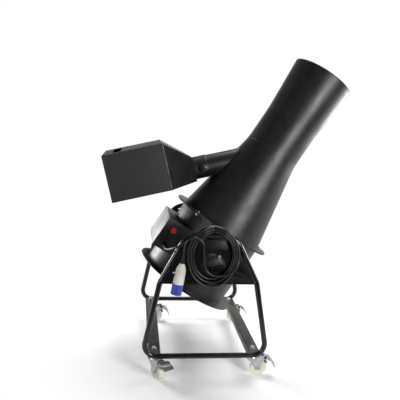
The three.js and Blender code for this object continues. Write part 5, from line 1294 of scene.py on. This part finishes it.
# %% Castor: brake shoe under the pedal
SHOE_TURN, SHOE_GAP, SHOE_HEIGHT, SHOE_LENGTH, SHOE_WIDTH, ARM_THICKNESS = 35, 0.8, 9, 16, 20, 6
outward, sideways = Vector(polar(1, SHOE_TURN)), Vector(polar(1, SHOE_TURN + 90))
shoe_middle = Vector((WHEEL_TRAIL - PIN_OUT, WHEEL_RADIUS - PIN_HEIGHT)) + outward * (WHEEL_RADIUS + SHOE_GAP)


def shoe_corner(out, side):
    return tuple(shoe_middle + outward * out + sideways * (side * SHOE_LENGTH / 2))


arm = [shoe_corner(5, -0.8), shoe_corner(SHOE_HEIGHT, -1), (6.5 + ARM_THICKNESS / 2, 0)]
arm += [(-ARM_THICKNESS / 2, 0), shoe_corner(SHOE_HEIGHT, 1), shoe_corner(5, 0.8)]
rubber = [shoe_corner(0, -1), shoe_corner(5.2, -1), shoe_corner(5.2, 1), shoe_corner(0, 1)]
pedal_and_arm = joined(pedal, moved(sheet([arm], 2 - SHOE_WIDTH / 2, SHOE_WIDTH / 2 - 2), FACING_NEAR))
shoe = moved(sheet([rubber], -SHOE_WIDTH / 2, SHOE_WIDTH / 2, 0.8), FACING_NEAR)
print("shoe's middle from the pin, mm:", [round(v, 1) for v in shoe_middle])

# %% [markdown]
# Each of the four castors is the drawn one, placed under its bar. The near left one trails towards the
# viewer and has its pedal raised, as in the picture. The other three stand as drawn.

# %% Four castors
STEM_FROM_MIDDLE, NEAR_LEFT_TURN, PEDAL_LIFT = 322, -60, 40
for side_label, side in SIDES:
    for end_label, way in (("left", -1), ("right", 1)):
        label = f"{side_label}_{end_label}"
        turn, lift = (NEAR_LEFT_TURN, -PEDAL_LIFT) if label == "near_left" else (0, 0)
        at = STAND @ shifted(way * BAR_HALF_SPACING, side * STEM_FROM_MIDDLE)
        trailing = at @ spun(turn, "Z")
        hinge = trailing @ shifted(PIN_OUT, 0, PIN_HEIGHT) @ spun(lift, "Y")
        piece(f"stem_{label}", stem, at, zinc, "stand", f"castor_stem_{label}")
        piece(f"dome_nut_{label}", nut, at, zinc, "stand", f"castor_nut_{label}")
        piece(f"fork_{label}", fork, trailing, zinc, f"castor_{label}", f"castor_fork_{label}")
        piece(f"wheel_{label}", wheel, trailing, cream_polyamide, f"wheel_{label}", f"castor_wheel_{label}")
        piece(f"pedal_sheet_{label}", pedal_and_arm, hinge, zinc, f"pedal_{label}", f"brake_pedal_{label}")
        piece(f"pedal_pin_{label}", pedal_pin, hinge, black_oxide, f"pedal_{label}")
        piece(f"brake_shoe_{label}", shoe, hinge, sheath_rubber, f"pedal_{label}")

# %% [markdown]
# The lead ends in an industrial plug. Its body is a grey-white moulding that tapers to the cable, with grip
# ribs and a small catch on one side. The blue shroud round the three pins is screwed to it.

# %% Plug
PLUG_RADIUS, PLUG_LENGTH, SHROUD_LENGTH, PIN_CIRCLE = 24.5, 92.4, 48.6, 11
shell = [(0, 1), (10, 1), (11.5, 0), (13, -5), (16.5, -12), (20, -18), (21, -26), (22.6, -54), (21.8, -55)]
shell += [(21.9, -57), (23.6, -58.5), (PLUG_RADIUS, 1 - PLUG_LENGTH), (23.8, -PLUG_LENGTH), (0, -PLUG_LENGTH)]
grips = ringed(moved(block((-1, -1, -13), (1, 1, 13), 0.7), shifted(21.5, 0, -39) @ spun(-3.3, "Y")), 32)
catch = block((-PLUG_RADIUS - 8, -5, -48), (-20, 5, -43), 1.2, 3)
plug_shape = joined(turned(shell, 96, 0.8), grips, catch)
plug_body = piece("plug_shell", plug_shape, PLUG, white_polyamide, "stand", "plug_body")
top, low = -PLUG_LENGTH - CLEAR, -PLUG_LENGTH - SEAT_GAP - SHROUD_LENGTH
shroud = [(0, top), (25, top), (25, low + 5), (25.5, low + 4.4), (25.5, low + 1), (24.9, low), (22.5, low)]
shroud += [(22.5, top - 4.3), (0, top - 4.3)]
keyway = block((-3, -26.7, low), (3, -22.5, top - 6), 0.8)
shroud_shape = joined(turned(shroud, 96, 0.5), keyway)
plug_shroud = piece("plug_shroud_blue", shroud_shape, PLUG, blue_polyamide, "stand", "plug_shroud")
base = top - 4.5
pin = turned([(0, base - 34), (1.6, base - 34), (2.6, base - 32), (2.6, base - 3), (0, base - 3)], 24, 0.5)
pins = joined(round_bar(18, base - 6, base, 64, 0.8), ringed(moved(pin, shifted(PIN_CIRCLE)), 3, first=90))
plug_pins = piece("plug_pins_brass", pins, PLUG, brass, "stand", "plug_pins")

# %% [markdown]
# The picture shows the lead from the gland to the plug, so its length is what is seen. The plug and its
# boot go with the second stretch, on the stand.

print("cords declared:", lead.name, coil.name)

# %% [markdown]
# The picture is lit like a catalogue page. Behind the object stands a white backdrop: the camera sees it
# white, and so do mirrored rays that run low to the back, because black paint shows little but what it
# mirrors. Any other ray meets a dim studio, so the backdrop gives the object no light. The rays are told
# apart by Light Path, and low ones by their direction.

# %% World
STUDIO, BACKDROP = 0.1, 1.0
BACK_FROM, BACK_TO, HIGH_FROM, LOW_TO = 0.1, 0.5, 0.42, 0.22
world = bpy.data.worlds.new("studio")
bpy.context.scene.world = world
world.use_nodes = True
tree = world.node_tree
tree.nodes.clear()
way = add(tree, "SeparateXYZ", {"Vector": add(tree, "TexCoord")})
to_back = {"Value": way.outputs["Y"], "From Min": BACK_FROM, "From Max": BACK_TO}
to_floor = {"Value": way.outputs["Z"], "From Min": HIGH_FROM, "From Max": LOW_TO}
back = add(tree, "MapRange", to_back, interpolation_type="SMOOTHSTEP")
low_down = add(tree, "MapRange", to_floor, interpolation_type="SMOOTHSTEP")
behind = add(tree, "Math", {0: back, 1: low_down}, operation="MULTIPLY")
ray = add(tree, "LightPath").outputs
mirrored = add(tree, "Math", {0: ray["Is Glossy Ray"], 1: behind}, operation="MULTIPLY")
direct = {0: ray["Is Camera Ray"], 1: ray["Is Transmission Ray"]}
seen = add(tree, "Math", direct, operation="MAXIMUM")
white = add(tree, "Math", {0: seen, 1: mirrored}, operation="MAXIMUM")
strength = add(tree, "MapRange", {"Value": white, "To Min": STUDIO, "To Max": BACKDROP})
air = add(tree, "Background", {"Color": (1, 1, 1, 1), "Strength": strength})
add(tree, "OutputWorld", {"Surface": air})
print("nodes in the world:", len(tree.nodes))

# %% [markdown]
# The floor is a white board that ends a metre in front of the object. Close to the object it is plain board
# and takes the shadow. Further off it turns into the backdrop for the camera and for mirrored rays, so no
# edge shows. It isn't a piece of the object.

# %% Floor
FLOOR_HALF, FLOOR_FRONT, BOARD_NEAR, BOARD_FAR = 9.0, -1.0, 0.38, 0.95
corners = [(-FLOOR_HALF, FLOOR_FRONT, 0), (FLOOR_HALF, FLOOR_FRONT, 0)]
corners += [(FLOOR_HALF, FLOOR_HALF, 0), (-FLOOR_HALF, FLOOR_HALF, 0)]
floor_mesh = bpy.data.meshes.new("floor")
floor_mesh.from_pydata(corners, [], [(0, 1, 2, 3)])
floor = new_object("floor", floor_mesh)
floor_paint = skin("floor_board_white", "#f6f6f6", "#f8f8f8", 0.85, 0.05, grain=3.0, depth=0.01)
floor_mesh.materials.append(floor_paint)
tree = floor_paint.node_tree
board, out = tree.nodes["Principled BSDF"], tree.nodes["Material Output"]
place = tree.nodes["Texture Coordinate"].outputs["Object"]
distance = add(tree, "VectorMath", {"Vector": place}, operation="LENGTH").outputs["Value"]
far = {"Value": distance, "From Min": BOARD_NEAR, "From Max": BOARD_FAR}
share = add(tree, "MapRange", far, interpolation_type="SMOOTHSTEP")
ray = add(tree, "LightPath").outputs
direct = {0: ray["Is Camera Ray"], 1: ray["Is Transmission Ray"]}
seen = add(tree, "Math", direct, operation="MAXIMUM")
seen = add(tree, "Math", {0: seen, 1: ray["Is Glossy Ray"]}, operation="MAXIMUM")
turned_white = add(tree, "Math", {0: seen, 1: share}, operation="MULTIPLY")
glow = add(tree, "Emission", {"Color": (1, 1, 1, 1), "Strength": BACKDROP})
both = add(tree, "MixShader", {0: turned_white, 1: board, 2: glow})
tree.links.new(both.outputs["Shader"], out.inputs["Surface"])
print("floor's corners:", corners)

# %% [markdown]
# Five soft lamps light the object. The broad one overhead gives the level, at which a colour shows about as
# it is written. Black paint is drawn by what it mirrors: the lamp in front at the right makes the stripe
# down the barrel, and the one in front at the left fills the near side. Behind it, the lamp at the left
# puts a bright edge on the casing, and the one at the right puts one on the mouth.

# %% Lamps
LAMPS = (
    ("overhead", (0.8, 0.9, 3.1), (0, 0, 0.6), (1.6, 1.6), 80),
    ("front_left", (-2.4, -2.3, 1.0), (-0.1, 0, 0.8), (1.2, 1.2), 28),
    ("stripe_right", (1.55, -2.75, 1.2), (0.1, 0, 1.0), (0.75, 1.0), 78),
    ("edge_left", (-1.71, 1.27, 0.95), (-0.35, 0, 0.5), (0.8, 0.7), 38),
    ("edge_right", (2.25, 0.8, 0.85), (0.4, 0, 1.35), (1.7, 0.5), 28),
)
for name, place, target, (width, height), watts in LAMPS:
    lamp_data = bpy.data.lights.new(name, "AREA")
    lamp_data.shape, lamp_data.energy = "RECTANGLE", watts
    lamp_data.size, lamp_data.size_y = width, height
    lamp = new_object(name, lamp_data)
    lamp.location = place
    lamp.rotation_euler = (Vector(target) - Vector(place)).to_track_quat("-Z", "Y").to_euler()
print("lamps:", [name for name, *_ in LAMPS])

# %% [markdown]
# The standard view shows a colour as it is written, which a filmic one wouldn't.

# %% View transform
bpy.context.scene.view_settings.view_transform = "Standard"
print("view:", bpy.context.scene.view_settings.view_transform)
